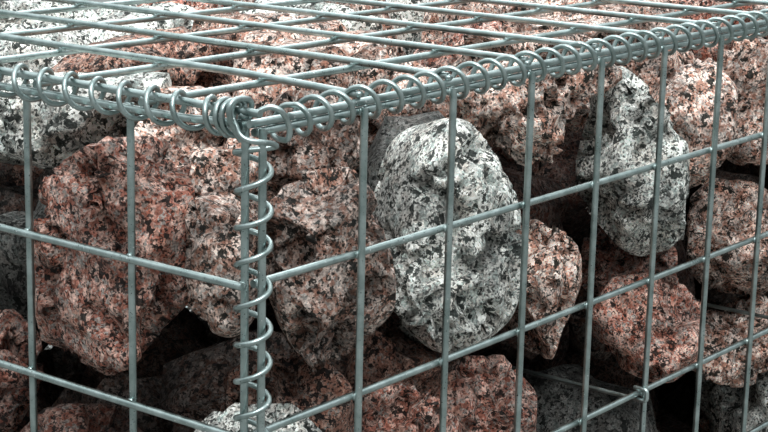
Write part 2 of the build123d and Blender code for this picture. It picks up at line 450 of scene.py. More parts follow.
def lid_wires():
    columns = [OUTSIDE] + [CORNER + column * MESH for column in range(1, MESHES_LONG + 1)]
    ends = OUTSIDE - HALF_WIRE, CORNER + LENGTH + HALF_WIRE
    runs, welds = sheet_wires(columns, *ends, HEIGHT, 1)
    last = len(long_wire_places()) - 1
    for row, y in ((0, INSIDE), (last, BACK_CORNER - INSIDE)):
        runs[row] = sagging_edge(ends, y, HEIGHT + CROSS_WIRE_LEVEL)
    for run in runs[last + 2:]:
        (x, front, z), (_, back, _) = run
        low, half = z - edge_sag(x), z - edge_sag(x) * SAG_LEFT_HALFWAY
        run[:] = [(x, front, low), (x, front + MESH / 2, half), (x, front + MESH, z)]
        run += [(x, back - MESH, z), (x, back - MESH / 2, half), (x, back, low)]
    runs[last + 1][0] = (OUTSIDE, LID_WIRE_END, HEIGHT + SHEET_LEVEL)
    return runs, welds


def base_wires():
    columns = [OUTSIDE] + [CORNER + column * MESH for column in range(1, MESHES_LONG)]
    columns += [DIVIDER_SIDE] + [2 * MIDDLE - x for x in columns]
    return sheet_wires(columns, OUTSIDE - HALF_WIRE, 2 * MIDDLE - OUTSIDE + HALF_WIRE, 0, -1)


def divider_wires():
    columns = [DIVIDER_FRONT] + long_wire_places()[1:-1] + [BACK_CORNER - DIVIDER_FRONT]
    rows = [row * MESH for row in range(MESHES_HIGH + 1)]
    runs = [[(MIDDLE, y, -HALF_WIRE), (MIDDLE, y, HEIGHT + HALF_WIRE)] for y in columns]
    ends = columns[0] - HALF_WIRE, columns[-1] + HALF_WIRE
    runs += [[(DIVIDER_SIDE, ends[0], z), (DIVIDER_SIDE, ends[1], z)] for z in rows]
    welds = [((MIDDLE + DIVIDER_SIDE) / 2, y, z) for y in columns for z in rows]
    return runs, welds


def other_bay(points):
    return [(2 * MIDDLE - x, y, z) for x, y, z in points]


def other_side(points):
    return [(x, BACK_CORNER - y, z) for x, y, z in points]


def turned(panel, *ways):
    """A panel's wires, mirrored to the other bay, the other side or both."""
    runs, welds = panel
    for way in ways:
        runs, welds = [way(run) for run in runs], way(welds)
    return runs, welds


# Spirals

def leaving_angle(across, up, out_across, out_up, radius):
    """The angle at which a wire from (across, up) leaves a circle, going out."""
    aside = across * out_up - up * out_across
    along = sqrt(radius**2 - aside**2)
    return degrees(atan2(out_up * along - out_across * aside, out_across * along + out_up * aside))


def clear_angle(crossings, radius):
    """Where a strand is at the mesh line so that it stays furthest from the cross wires."""
    taken = []
    for across, up, out_across, out_up, past in crossings:
        angle = leaving_angle(across, up, out_across, out_up, radius)
        taken.append((angle - 360 * past / TURN_PITCH) % 360)
    taken.sort()
    taken.append(taken[0] + 360)
    widest = max(range(len(taken) - 1), key=lambda index: taken[index + 1] - taken[index])
    return (taken[widest] + taken[widest + 1]) / 2


# How uneven the spirals are, in degrees and metres
UNEVEN_TURNS = 34
SPREAD_AT_MESH_LINES = 26
UNEVEN_RADIUS = 0.00022
UNEVEN_LEAN = 0.0012

# Over what lengths that changes
RADIUS_WAVE = MESH * 1.3
LEAN_WAVE = MESH * 0.8

# Over what lengths the crowding and the sag of the turns at the seen corner fade
CROWDED_LENGTH = 0.02
SAG_LENGTH = 0.02

# The waves that make a smooth random curve, by share of its height and of its pace
WAVE_SHARES = (1.0, 0.6, 0.4)
WAVE_PACE = 1.7


def smooth_random(rng, along, wave):
    """A smooth random curve between about -1 and 1, over a length."""
    total = np.zeros_like(along)
    for share in WAVE_SHARES:
        total += share * np.sin(2 * pi * share * along / wave * WAVE_PACE + rng.uniform(0, 2 * pi))
    return total / 2


class Binder:
    """One binding spiral: where it runs, where its strands are and how even it is.

    Lines are where it passes the cross wires of the mesh, as places along it.
    """

    def __init__(
        self,
        origin,
        angle_zero,
        along,
        ends,
        crossings,
        seed,
        radius=SPIRAL_RADIUS,
        lines=(0.0,),
    ):
        self.origin = np.array(origin, dtype=float)
        self.angle_zero, self.along = angle_zero, along
        self.side = np.cross(along, angle_zero)
        self.first, self.last = ends
        self.radius = radius
        self.mesh_angle = clear_angle(crossings, radius)
        self.lines = lines
        self.rng = np.random.default_rng(seed)
        self.turned_by, self.crowded, self.sag = 0, 0, 0

    def free_to_move(self, t):
        """Nought at the cross wires, which hold the strands, and one between them."""
        free = np.ones_like(t)
        for line in self.lines:
            free *= np.sin(pi * (t - line) / MESH) ** 2
        return free ** (1 / len(self.lines))

    def angles(self, t, free):
        """How far round the spiral is, in radians."""
        swing = smooth_random(self.rng, t, MESH)
        start = radians(self.mesh_angle + self.turned_by)
        angle = start + 2 * pi * t / TURN_PITCH + radians(UNEVEN_TURNS) * swing * free
        angle = angle + radians(self.crowded) * np.exp((self.first - t) / CROWDED_LENGTH)
        if len(self.lines) == 1:
            widen = -SPREAD_AT_MESH_LINES * np.sin(2 * pi * (t - self.lines[0]) / MESH)
            angle = angle + radians(1) * widen
        return angle

    def path(self, steps_per_turn):
        """The centre line of the wire."""
        count = int((self.last - self.first) / TURN_PITCH * steps_per_turn) + 1
        t = np.linspace(self.first, self.last, count)
        free = self.free_to_move(t)
        angle = self.angles(t, free)
        radius = self.radius + UNEVEN_RADIUS * smooth_random(self.rng, t, RADIUS_WAVE)
        lean = UNEVEN_LEAN * smooth_random(self.rng, t, LEAN_WAVE) * free * np.cos(angle * 0.5)
        ring = np.cos(angle)[:, None] * self.angle_zero + np.sin(angle)[:, None] * self.side
        drop = self.sag * np.exp((self.first - t) / SAG_LENGTH)
        straight = (t + lean)[:, None] * self.along - drop[:, None] * Z
        return self.origin + ring * radius[:, None] + straight


# At the seen corner: how far each spiral is turned round and how much further its first
# turns are, in degrees, and how far they hang down
AT_THE_CORNER = {
    "top_spiral_left_end": (115, 0, 0),
    "corner_spiral_front_left": (80, 0, 0),
    "top_spiral_front_bay_1": (-45, -150, 0.003),
}

# The hand-bent ends there, in millimetres from the corner's axis and the top level wires
KNOT = [
    (-7.6, 1.4, -5.6), (-12.1, 1.6, 0.7), (-14.8, 1.6, 6.0), (-15.0, 1.6, 10.3), (-12.6, 1.6, 13.2),
    (-7.7, 1.7, 13.9), (-2.0, 1.8, 12.8), (1.0, 2.6, 9.9), (2.2, 4.6, 5.5), (0.6, 6.0, 0.0),
    (-5.0, 6.6, -4.2), (-11.5, 6.9, -1.2), (-14.0, 7.1, 4.0), (-12.6, 7.6, 9.6), (-6.8, 8.2, 12.0),
    (-0.6, 9.0, 9.6), (1.5, 9.6, 4.0), (-2.0, 10.0, -2.6), (-8.0, 10.3, -4.0), (-14.2, 10.6, 3.2),
    (-12.2, 11.6, 10.0), (-6.5, 12.6, 12.1), (-0.8, 13.4, 9.8), (1.5, 14.1, 4.0), (-1.2, 14.8, -2.0),
    (-6.9, 15.5, -4.1), (-12.6, 16.3, -1.0),
]
HOOK = [
    (5.9, -6.6, -9.4), (4.4, -8.4, -7.6), (0.0, -8.8, -6.3), (-5.5, -8.3, -5.3), (-9.4, -4.8, -4.3),
    (-10.5, -1.0, -2.2), (-10.6, 1.4, 1.5), (-10.6, 3.4, 5.0), (-10.5, 4.5, 8.5), (-8.8, 4.7, 11.6),
    (-5.0, 4.7, 12.8), (-1.5, 4.6, 11.0), (-1.6, 4.4, 8.6),
]
FIRST_TURN = [
    (2.4, -0.4, 6.8), (4.0, -1.8, 8.0), (6.5, -4.6, 9.0), (9.3, -8.0, 7.2), (12.9, -8.8, 2.6),
    (14.8, -8.8, -2.8), (14.6, -7.6, -6.8), (15.2, -3.0, -7.6), (17.0, 2.6, -6.9), (19.8, 7.0, -3.2),
]
HOOK_FROM = HEIGHT - 0.0115

# A hand-bent end runs into its spiral by way of every third of the nearest seven points,
# and the first turn at the front takes the place of its spiral's first eight points
JOINING_POINTS = 7
JOINING_STEP = 3
REPLACED_POINTS = 8


def smooth_line(points, steps=6):
    """A smooth curve through points."""
    points = np.array(points)
    points = np.concatenate([[2 * points[0] - points[1]], points, [2 * points[-1] - points[-2]]])
    share = np.arange(steps)[:, None] / steps
    curve = []
    for a, b, c, d in zip(points, points[1:], points[2:], points[3:]):
        bend = (2 * a - 5 * b + 4 * c - d) * share**2 + (3 * b - a - 3 * c + d) * share**3
        curve.extend((2 * b + (c - a) * share + bend) / 2)
    return np.array([*curve, points[-2]])


def hand_bent(points):
    return list(np.array(points) / 1000 + Z * HEIGHT)


def bent_start(points, path):
    """A spiral's path with a hand-bent start."""
    joining = path[:JOINING_POINTS:JOINING_STEP]
    return [*smooth_line([*hand_bent(points), *joining]), *path[JOINING_POINTS:]]


def bent_finish(path, points):
    """A spiral's path with a hand-bent finish."""
    joining = path[-JOINING_POINTS::JOINING_STEP]
    return [*path[:-JOINING_POINTS], *smooth_line([*joining, *hand_bent(points)])]


def spiral_path(name, binder, steps):
    """A spiral's centre line, with its bent end where it comes to the seen corner."""
    if name in AT_THE_CORNER:
        binder.turned_by, binder.crowded, binder.sag = AT_THE_CORNER[name]
    path = binder.path(steps)
    if name.startswith(("top_spiral_front", "top_spiral_back")):
        path[:, 2] -= edge_sag(path[:, 0])
    if name == "top_spiral_left_end":
        return bent_start(KNOT, path)
    if name == "top_spiral_front_bay_1":
        return bent_start(FIRST_TURN, path[REPLACED_POINTS:])
    if name == "corner_spiral_front_left":
        return bent_finish(path[path[:, 2] < HOOK_FROM], HOOK)
    return list(path)


# Seeds for the unevenness of the spirals, counted on from there
UPRIGHT_SEED = 11
LONG_SEED = 31
END_SEED = 51
DIVIDER_SEED = 71


def upright_binders():
    binders = {}
    for end, x, side in (("left", 0, 1), ("right", 2 * MIDDLE, -1)):
        for face, y, way in (("front", 0, 1), ("back", BACK_CORNER, -1)):
            crossings = [
                (OUTSIDE * side, CORNER * way, 0, way, 0),
                (CORNER * side, INSIDE * way, side, 0, 0),
            ]
            name = f"corner_spiral_{face}_{end}"
            seed = UPRIGHT_SEED + len(binders)
            binders[name] = Binder((x, y, 0), X, Z, (0, HEIGHT), crossings, seed)
    centre = (DIVIDER_FRONT - CORNER) / 2
    for face, y, way in (("front", centre, 1), ("back", BACK_CORNER - centre, -1)):
        crossings = [
            (-HALF_WIRE, (INSIDE - centre) * way, -1, 0, 0),
            (HALF_WIRE, (INSIDE - centre) * way, 1, 0, 0),
            (LAYER, (DIVIDER_FRONT - centre) * way, 0, way, 0),
        ]
        name = f"joint_spiral_{face}"
        seed = UPRIGHT_SEED + len(binders)
        place = (MIDDLE, y, 0)
        binders[name] = Binder(place, X, Z, (0, HEIGHT), crossings, seed, JOINT_SPIRAL_RADIUS)
    return binders


def long_binders():
    binders = {}
    first = SPIRAL_START - CORNER
    last = LENGTH + CORNER + EDGE_GAP / 2 - SPIRAL_START
    for bay, start, ends in (
        (1, CORNER, (first, last)),
        (2, MIDDLE + EDGE_GAP / 2, (LENGTH - last, LENGTH - first)),
    ):
        for face, y, way in (("front", INSIDE, 1), ("back", BACK_CORNER - INSIDE, -1)):
            for level, z, up in (("top", HEIGHT, 1), ("bottom", 0, -1)):
                crossings = [
                    (0, up * (SHEET_LEVEL - BINDING_LEVEL), way, 0, 0),
                    (way * (-CORNER - INSIDE), -up * BINDING_LEVEL, 0, -up, 0),
                ]
                name = f"{level}_spiral_{face}_bay_{bay}"
                origin = (start, y, z + up * BINDING_LEVEL)
                seed = LONG_SEED + len(binders)
                binders[name] = Binder(origin, Y, X, ends, crossings, seed)
    return binders


def end_binders():
    binders = {}
    ends = SPIRAL_START - CORNER, DEPTH + CORNER - SPIRAL_START
    sheet_line = INSIDE + LID_FIRST_OPENING - (CORNER + MESH)
    for end, x, side in (("left", OUTSIDE, 1), ("right", 2 * MIDDLE - OUTSIDE, -1)):
        for level, z, up in (("top", HEIGHT, 1), ("bottom", 0, -1)):
            crossings = [
                (up * (CROSS_WIRE_LEVEL - BINDING_LEVEL), 0, 0, side, sheet_line),
                (-up * BINDING_LEVEL, side * LAYER, -up, 0, 0),
            ]
            name = f"{level}_spiral_{end}_end"
            origin = (x, CORNER, z + up * BINDING_LEVEL)
            seed = END_SEED + len(binders)
            binders[name] = Binder(origin, Z, Y, ends, crossings, seed, lines=(0.0, sheet_line))
    return binders


def divider_binders():
    line = INSIDE + LID_FIRST_OPENING
    ends = SPIRAL_START - line, BACK_CORNER - SPIRAL_START - line
    lids_shift = LAYER / 4
    low = CROSS_WIRE_LEVEL - BINDING_LEVEL
    top = [(low, 0, 0, 1, 0), (low, 0, 0, -1, 0), (-BINDING_LEVEL, -lids_shift, -1, 0, 0)]
    bottom = [(-low, 0, 0, 1, 0), (-low, 0, 0, -1, 0), (BINDING_LEVEL, -LAYER, 1, 0, 0)]
    top_origin = (MIDDLE + lids_shift, line, HEIGHT + BINDING_LEVEL)
    bottom_origin = (DIVIDER_SIDE, line, -BINDING_LEVEL)
    seed = DIVIDER_SEED
    return {
        "top_spiral_divider": Binder(top_origin, Z, Y, ends, top, seed, JOINT_SPIRAL_RADIUS),
        "bottom_spiral_divider": Binder(bottom_origin, Z, Y, ends, bottom, seed + 1),
    }


# Ties

def rounded(points, radius, steps=5):
    """A path of straight runs with an arc at each bend."""
    points = [np.array(point, dtype=float) for point in points]
    path = [points[0]]
    for before, at, after in zip(points, points[1:], points[2:]):
        way_in = (at - before) / np.linalg.norm(at - before)
        way_out = (after - at) / np.linalg.norm(after - at)
        turn = np.arccos(np.clip(way_in @ way_out, -1, 1))
        back = radius * np.tan(turn / 2)
        centre = at + (way_out - way_in) / np.linalg.norm(way_out - way_in) * radius / cos(turn / 2)
        start = at - way_in * back - centre
        for step in range(steps + 1):
            share = step / steps * turn
            aside = way_in * sin(share) + start / radius * cos(share)
            path.append(centre + aside * radius)
    path.append(points[-1])
    return path


def tie_paths(bay):
    step = HALF_WIRE + TIE_WIRE / 2 + SEAT
    hook = -CORNER - HALF_WIRE - TIE_WIRE / 2 - SEAT
    tip = INSIDE + HALF_WIRE
    paths = []
    for column in TIE_COLUMNS:
        side = -1 if column < MESHES_LONG / 2 else 1
        x = CORNER + column * MESH + side * step
        if bay == 2:
            x = 2 * MIDDLE - x
        for row in TIE_ROWS:
            level = HEIGHT - row * MESH
            low, high = level - step, level + step
            half = [(x, tip, high), (x, hook, high), (x, hook, low)]
            paths.append(rounded(half + other_side(half)[::-1], TIE_BEND))
    return paths


# Stones: their usual size in metres, how much the random ones differ by it, and how near to
# its centre a stone's sides may come
STONE = 0.118
STONE_SPREAD = 0.14
STONE_SIZES = (0.75, 1.3)
THINNEST = 0.008

# How far they keep from each other and from the ties, and how far off a neighbour can be
GAP_BETWEEN_STONES = 0.005
TIE_CLEARANCE = 0.003
LEAST_REACH_TO_TIE = 0.012
NEIGHBOUR = STONE * 2.2

# How the random stones are spread: how far their centres keep from the mesh, and how many
# points and rounds it takes to even them out
BAY_SEEDS = {1: 301, 2: 303}
SEED_MARGIN = STONE * 0.36
SAMPLES_PER_STONE = 60
SPREADING_ROUNDS = 6

# Small cuts all round a stone: how many, how far out as shares of its reach there, and the
# most that this reach counts, by its usual reach
CHIPS = 9
CHIP_REACH = (0.80, 0.98)
CHIP_LIMIT = 1.2

# Flakes out of its faces: how many, how wide as cosines, how deep and how round
BITES = 3
BITE_WIDTHS = (0.72, 0.93)
BITE_DEPTHS = (0.003, 0.009)
BITE_ROUNDING = 0.55

# Stands for nought where something is divided by it
TINY = 1e-6

# Waves that bend its faces: how quickly they change round it, and how strong they are
WAVES = np.array([2.0, 3.0, 5.0, 8.0, 12.0])[:, None]
WAVE_SIZES = np.array([0.09, 0.06, 0.04, 0.03, 0.02])[:, None]

# Broken facets: their size and depth in metres
FACET = 0.040
BROKEN_DEPTH = 0.0044

# Their slope and steps, how far noise bends them, its detail and roughness, and the size of
# the small ones: all lengths are shares of the large ones' size
FACET_SLOPE = 1.35
FACET_STEP = 0.3
FACET_BEND = 0.35
FACET_WAVES = (3.0, 0.6)
SMALL_FACETS = 0.4

# Grit on them: waves to a facet, detail and roughness, then its depth and the most that is
# broken away in all, by the broken depth
GRIT_WAVES = (5.0, 3.0, 0.7)
GRIT_DEPTH = 0.9
DEEPEST = 3.2

# How far the granite's pattern is shifted from stone to stone
PATTERN_SEED = 7
PATTERN_SHIFT = 5

# How finely stones are modelled, as quads along a side of a cube's face: inside, nearer to
# the seen corner than so many metres, and further away
DETAIL_INSIDE = 4
DETAIL_NEAR = ((0.36, 13), (0.75, 11))
DETAIL_FAR = 8
SEEN_CORNER = np.array([0.1, 0.05, HEIGHT - 0.1])
INNER = STONE * 0.85


def fill_space(bay):
    """The lowest and highest corners of the room inside one basket."""
    start = -CORNER + HALF_WIRE + SEAT
    end = MIDDLE - HALF_WIRE - SEAT
    if bay == 2:
        start = DIVIDER_SIDE + HALF_WIRE + SEAT
        end = 2 * MIDDLE + CORNER - HALF_WIRE - SEAT
    front = INSIDE + HALF_WIRE + SEAT
    top = CROSS_WIRE_LEVEL - HALF_WIRE - SEAT
    return np.array([start, front, -top]), np.array([end, BACK_CORNER - front, HEIGHT + top])


def face_quads(axis, end, count):
    """The quads of one face of a cube that is count across, as whole-number corners."""
    i, j = np.meshgrid(np.arange(count), np.arange(count), indexing="ij")
    quads = np.full((count * count, 4, 3), end)
    steps = ((0, 0), (1, 0), (1, 1), (0, 1))
    for index, (a, b) in enumerate(steps if end else steps[::-1]):
        quads[:, index, (axis + 1) % 3] = i.ravel() + a
        quads[:, index, (axis + 2) % 3] = j.ravel() + b
    return quads


def ball_grid(count):
    """Directions over a ball and the quads between them, count to a side of a cube's face."""
    quads = [face_quads(axis, end, count) for axis in range(3) for end in (0, count)]
    corners = np.concatenate(quads).reshape(-1, 3)
    places, faces = np.unique(corners, axis=0, return_inverse=True)
    cube = np.tan((places / count * 2 - 1) * pi / 4)
    return cube / np.linalg.norm(cube, axis=1)[:, None], faces.reshape(-1, 4)


# A ball for each level of detail
BALLS = {count: ball_grid(count) for count in (4, 8, 11, 13, 17, 22, 38)}


def random_ways(rng, count):
    ways = rng.normal(size=(count, 3))
    return ways / np.linalg.norm(ways, axis=1)[:, None]


def random_bites(rng):
    """Places where a flake has broken out of a stone."""
    ways = random_ways(rng, BITES)
    return [(way, rng.uniform(*BITE_WIDTHS), rng.uniform(*BITE_DEPTHS)) for way in ways]


def bent_ways(rng, ways):
    """Directions bent by smooth random waves, so that faces aren't quite flat."""
    waves = rng.normal(size=(len(WAVES), 3)) * WAVES
    bends = random_ways(rng, len(WAVES)) * WAVE_SIZES
    bent = ways + np.sin(ways @ waves.T + rng.uniform(0, 2 * pi, len(WAVES))) @ bends
    return bent / np.linalg.norm(bent, axis=1)[:, None]


def stone_surface(rng, normals, reaches, count, edge, bites):
    """Points of one stone round its centre, inside the given planes and broken further.

    A bite is a way out from the centre, how wide it is as a cosine, and how deep.
    """
    ways, faces = BALLS[count]
    hard = 1 / np.max(np.maximum(ways @ normals.T, TINY) / reaches, axis=1)
    cuts = random_ways(rng, CHIPS)
    nearest = np.argmax(cuts @ ways.T, axis=1)
    limit = np.minimum(hard[nearest], np.median(hard) * CHIP_LIMIT)
    reaches = np.concatenate([reaches, limit * rng.uniform(*CHIP_REACH, CHIPS)])
    bent = bent_ways(rng, ways)
    share = np.maximum(bent @ np.concatenate([normals, cuts]).T, 0) / reaches
    reach = (share**edge).sum(axis=1) ** (-1 / edge)
    for way, width, deep in bites:
        inside = np.clip((bent @ way - width) / (1 - width), 0, 1)
        reach -= deep * inside**BITE_ROUNDING
    return ways * np.minimum(reach, hard)[:, None], faces


def relaxed_seeds(rng, low, high, taken):
    """Stone centres spread evenly through a room, round the ones already taken."""
    room = np.prod(high - low)
    count = int(room / STONE**3)
    inner_low, inner_high = low + SEED_MARGIN, high - SEED_MARGIN
    seeds = rng.uniform(inner_low, inner_high, (count, 3))
    samples = rng.uniform(low, high, (count * SAMPLES_PER_STONE, 3))
    fixed = np.array(taken).reshape(-1, 3)
    for _ in range(SPREADING_ROUNDS):
        every = np.concatenate([fixed, seeds])
        distance = ((samples[:, None, :] - every[None]) ** 2).sum(axis=2)
        owner = np.argmin(distance, axis=1)
        for index in range(len(seeds)):
            mine = samples[owner == index + len(fixed)]
            if len(mine):
                seeds[index] = np.clip(mine.mean(axis=0), inner_low, inner_high)
    return seeds


def tie_lines(bay):
    """Where the ties cross the fill, as X and Z."""
    return [(path[0][0], path[len(path) // 2][2]) for path in tie_paths(bay)]


def room_planes(centre, low, high, ties):
    """Planes that hold a stone inside the mesh and clear of the ties."""
    normals = [-X, X, -Y, Y, -Z, Z]
    reaches = [*np.stack([centre - low, high - centre], axis=1).ravel()]
    for x, z in ties:
        away = np.array([x - centre[0], 0, z - centre[2]])
        distance = np.linalg.norm(away)
        if distance < STONE:
            normals.append(away / distance)
            reaches.append(max(distance - TIE_WIRE / 2 - TIE_CLEARANCE, LEAST_REACH_TO_TIE))
    return np.array(normals), np.array(reaches)


def planes_between(centre, size, seeds, sizes):
    """Planes between a random stone and its neighbours, nearer to the smaller of each two."""
    away = seeds - centre
    distance = np.linalg.norm(away, axis=1)
    close = (distance > 0) & (distance < NEIGHBOUR)
    share = size / (size + sizes[close])
    reaches = distance[close] * share - GAP_BETWEEN_STONES / 2
    return away[close] / distance[close][:, None], reaches


def planes_clear_of(centre, placed, voids):
    """Planes that keep a random stone off the chosen ones and out of the dark gaps."""
    normals, reaches = [], []
    for other, points, *_ in placed:
        distance = np.linalg.norm(other - centre)
        if distance < NEIGHBOUR:
            way = (other - centre) / distance
            normals.append(way)
            reaches.append(distance - np.max(-points @ way) - GAP_BETWEEN_STONES)
    for place, radius in voids:
        distance = np.linalg.norm(place - centre)
        if distance < STONE * 2:
            normals.append((place - centre) / distance)
            reaches.append(distance - radius)
    return np.array(normals).reshape(-1, 3), np.array(reaches)


def detail_for(centre, low, high):
    """How finely a stone is modelled: the outer ones near the seen corner most."""
    if min(np.min(centre - low), np.min(high - centre)) > INNER:
        return DETAIL_INSIDE
    distance = np.linalg.norm(centre - SEEN_CORNER)
    for limit, count in DETAIL_NEAR:
        if distance < limit:
            return count
    return DETAIL_FAR


def random_shade(rng, centre, on_top):
    """How pale a stone is: palest on top, with painted shade low down and behind the outer ones."""
    far_side = np.array([2 * MIDDLE, BACK_CORNER]) - centre[:2]
    inside = min(np.min(centre[:2]), np.min(far_side), HEIGHT - centre[2])
    # Low stones are kept darker, and the ones behind the outer ones darkest: painted shade
    low_down = centre[2] < HEIGHT - LOW_DOWN
    shade = rng.uniform(TOP_DARKEST if on_top else 0, LOW_PALEST_IN_SHADE if low_down else PALEST)
    return DEEP_SHADE if inside > OUTER_STONES else shade


def random_stone(rng, centre, normals, reaches, detail):
    """A stone of a random kind, sharpness and shade inside the given planes."""
    on_top = centre[2] > HEIGHT - OUTER_STONES
    kind = rng.choice(len(KINDS), p=TOP_SHARES if on_top else KIND_SHARES)
    edge = rng.uniform(*EDGE_RANGES[KINDS[kind]])
    points, faces = stone_surface(rng, normals, reaches, detail, edge, random_bites(rng))
    return centre, points, faces, kind, random_shade(rng, centre, on_top)


def bay_stones(bay):
    """All the stones of one basket, as centre, points, faces, kind and shade."""
    rng = np.random.default_rng(BAY_SEEDS[bay])
    low, high = fill_space(bay)
    ties = tie_lines(bay)
    placed, voids = [], []
    if bay == 1:
        placed = chosen_stones(rng, low, high, ties)
        voids = [(np.array(place) + Z * HEIGHT, radius) for place, radius in VOIDS]
    taken = [stone[0] for stone in placed] + [place for place, _ in voids]
    seeds = relaxed_seeds(rng, low, high, taken)
    sizes = rng.normal(1, STONE_SPREAD, len(seeds)).clip(*STONE_SIZES)
    stones = []
    for centre, size in zip(seeds, sizes):
        planes = [
            room_planes(centre, low, high, ties),
            planes_between(centre, size, seeds, sizes),
            planes_clear_of(centre, placed, voids),
        ]
        normals = np.concatenate([ways for ways, _ in planes])
        reaches = np.concatenate([limits for _, limits in planes])
        if reaches.min() >= THINNEST:
            detail = detail_for(centre, low, high)
            stones.append(random_stone(rng, centre, normals, reaches, detail))
    return placed + stones


# Kinds of granite, and how many of the stones are of each, all through and on top
KINDS = ("red_granite", "pink_granite", "grey_granite", "brown_granite")
RED, PINK, GREY, BROWN = KINDS
KIND_SHARES = (0.34, 0.32, 0.18, 0.16)
TOP_SHARES = (0.08, 0.5, 0.38, 0.04)

# How sharp the broken edges of each kind are: higher is sharper
EDGE_RANGES = {RED: (16, 34), PINK: (12, 26), GREY: (7, 14), BROWN: (14, 30)}

# How pale stones are, from nought to one: the random ones on top, low down, which are
# darkened as painted shade, and elsewhere; and below nought the ones behind the outer ones,
# in painted deep shade. Then how far down is low, and how thick the outer layer is.
TOP_DARKEST = 0.6
LOW_PALEST_IN_SHADE = 0.55
PALEST = 0.9
DEEP_SHADE = -1.0
LOW_DOWN = 0.2
OUTER_STONES = STONE * 0.8

# Stones laid out one by one, most of them near the camera: centre, then how far each reaches
# from there as the camera sees it, in millimetres, to the right and on anticlockwise by
# eighths of a turn, its reach towards and away from the camera, its kind, edge sharpness,
# detail and shade. Centres are in wall coordinates with Z below the top level wires.
CHOSEN = {
    "big_red": ((0.050, 0.137, -0.094), (51, 78, 58, 64, 49, 88, 70, 41), (64, 60), RED, 22, 38, 0.32),
    "corner_pink": ((0.091, 0.050, -0.094), (50, 66, 56, 33, 18, 36, 52, 50), (70, 60), PINK, 18, 38, 0.2),
    "narrow": ((0.042, 0.059, -0.085), (15, 30, 36, 32, 16, 30, 34, 30), (30, 60), PINK, 18, 22, 0.35),
    "round_grey": ((0.233, 0.058, -0.106), (47, 58, 76, 84, 43, 54, 72, 61), (62, 50), GREY, 12, 38, 0.56),
    "pale_behind": ((0.095, 0.128, -0.040), (42, 30, 30, 34, 40, 40, 30, 40), (34, 50), PINK, 16, 22, 1.0),
    "grey_left": ((0.070, 0.197, -0.030), (50, 51, 28, 38, 41, 45, 31, 36), (60, 60), GREY, 14, 22, 1.0),
    # pink_behind's low shade is painted shade: it lies in shadow behind corner_pink
    "pink_behind": ((0.172, 0.114, -0.044), (29, 32, 24, 26, 30, 30, 24, 30), (46, 50), PINK, 22, 22, 0.1),
    "pink_hanging": ((0.308, 0.062, -0.047), (30, 40, 40, 40, 33, 18, 36, 40), (60, 50), PINK, 22, 22, 1.0),
    "pale_tall": ((0.357, 0.055, -0.160), (14, 33, 52, 50, 30, 43, 56, 36), (52, 50), PINK, 12, 22, 1.0),
    "lower_left": ((0.055, 0.248, -0.182), (22, 30, 30, 30, 40, 50, 44, 40), (56, 50), RED, 20, 17, 0.0),
    # bottom_left's shade below nought is painted deep shade
    "bottom_left": ((0.050, 0.185, -0.232), (50, 42, 36, 34, 36, 46, 46, 50), (56, 50), RED, 24, 17, -0.6),
    "bottom_grey": ((0.060, 0.055, -0.211), (45, 46, 42, 40, 40, 43, 46, 48), (58, 50), GREY, 16, 22, 0.5),
    "dark_under": ((0.118, 0.075, -0.186), (34, 30, 34, 40, 40, 41, 35, 36), (42, 50), BROWN, 22, 22, 0.0),
    "dark_red": ((0.218, 0.080, -0.182), (30, 22, 26, 30, 30, 30, 30, 30), (50, 50), BROWN, 22, 17, 0.0),
    "orange_red": ((0.183, 0.050, -0.225), (34, 36, 38, 40, 38, 40, 40, 38), (50, 50), RED, 24, 22, 0.5),
    "leaning": ((0.447, 0.058, -0.092), (38, 42, 64, 57, 37, 40, 60, 66), (50, 50), GREY, 20, 17, 0.5),
    "far_top": ((0.535, 0.058, -0.074), (28, 38, 50, 40, 28, 36, 48, 40), (52, 50), PINK, 18, 13, 0.8),
    "far_right": ((0.630, 0.058, -0.073), (32, 44, 50, 44, 32, 44, 46, 44), (52, 50), PINK, 18, 13, 0.6),
    "far_middle": ((0.622, 0.058, -0.175), (40, 44, 42, 44, 36, 44, 42, 44), (52, 50), PINK, 20, 13, 0.6),
    "right_upper": ((0.490, 0.078, -0.173), (32, 30, 32, 34, 32, 34, 30, 34), (46, 50), RED, 24, 17, 0.0),
    "right_lower": ((0.484, 0.058, -0.217), (40, 40, 36, 40, 38, 40, 36, 40), (52, 50), RED, 22, 13, 0.6),
    "far_low": ((0.616, 0.058, -0.250), (44, 42, 36, 40, 36, 42, 40, 42), (52, 50), PINK, 18, 13, 0.7),
    "plug": ((0.215, 0.292, -0.222), (46, 46, 46, 46, 46, 46, 46, 40), (50, 50), BROWN, 16, 8, DEEP_SHADE),
    "back_left": ((0.285, 0.470, -0.046), (50, 50, 44, 50, 54, 50, 44, 50), (44, 50), GREY, 16, 13, 1.0),
    "back_next": ((0.190, 0.475, -0.050), (44, 48, 46, 48, 44, 50, 44, 50), (44, 50), PINK, 16, 13, 0.8),
    "below_grey": ((0.278, 0.060, -0.235), (34, 40, 42, 36, 30, 40, 44, 40), (56, 50), RED, 22, 17, 0.5),
}

# Dark gaps seen between the stones: a centre, as for the stones, and a radius in metres
VOIDS = (
    ((0.080, 0.122, -0.142), 0.026),
    ((0.060, 0.104, -0.165), 0.018),
    ((0.060, 0.232, -0.098), 0.026),
    ((0.060, 0.232, -0.146), 0.022),
    ((0.190, 0.068, -0.024), 0.016),
    ((0.327, 0.060, -0.100), 0.022),
    ((0.440, 0.060, -0.142), 0.028),
    ((0.367, 0.060, -0.212), 0.026),
    ((0.560, 0.060, -0.298), 0.028),
    ((0.302, 0.060, -0.217), 0.018),
)

# How much wider the chosen stones start, before they are broken down
CHOSEN_MARGIN = 0.0026

# The hollow broken out of the big red stone, to the right of its top: which way it lies,
# how wide it is as a cosine, and how deep
HOLLOW_WAY = np.array((0.36, -0.84, 0.36))
HOLLOW_WIDTH = 0.86
HOLLOW_DEPTH = 0.016


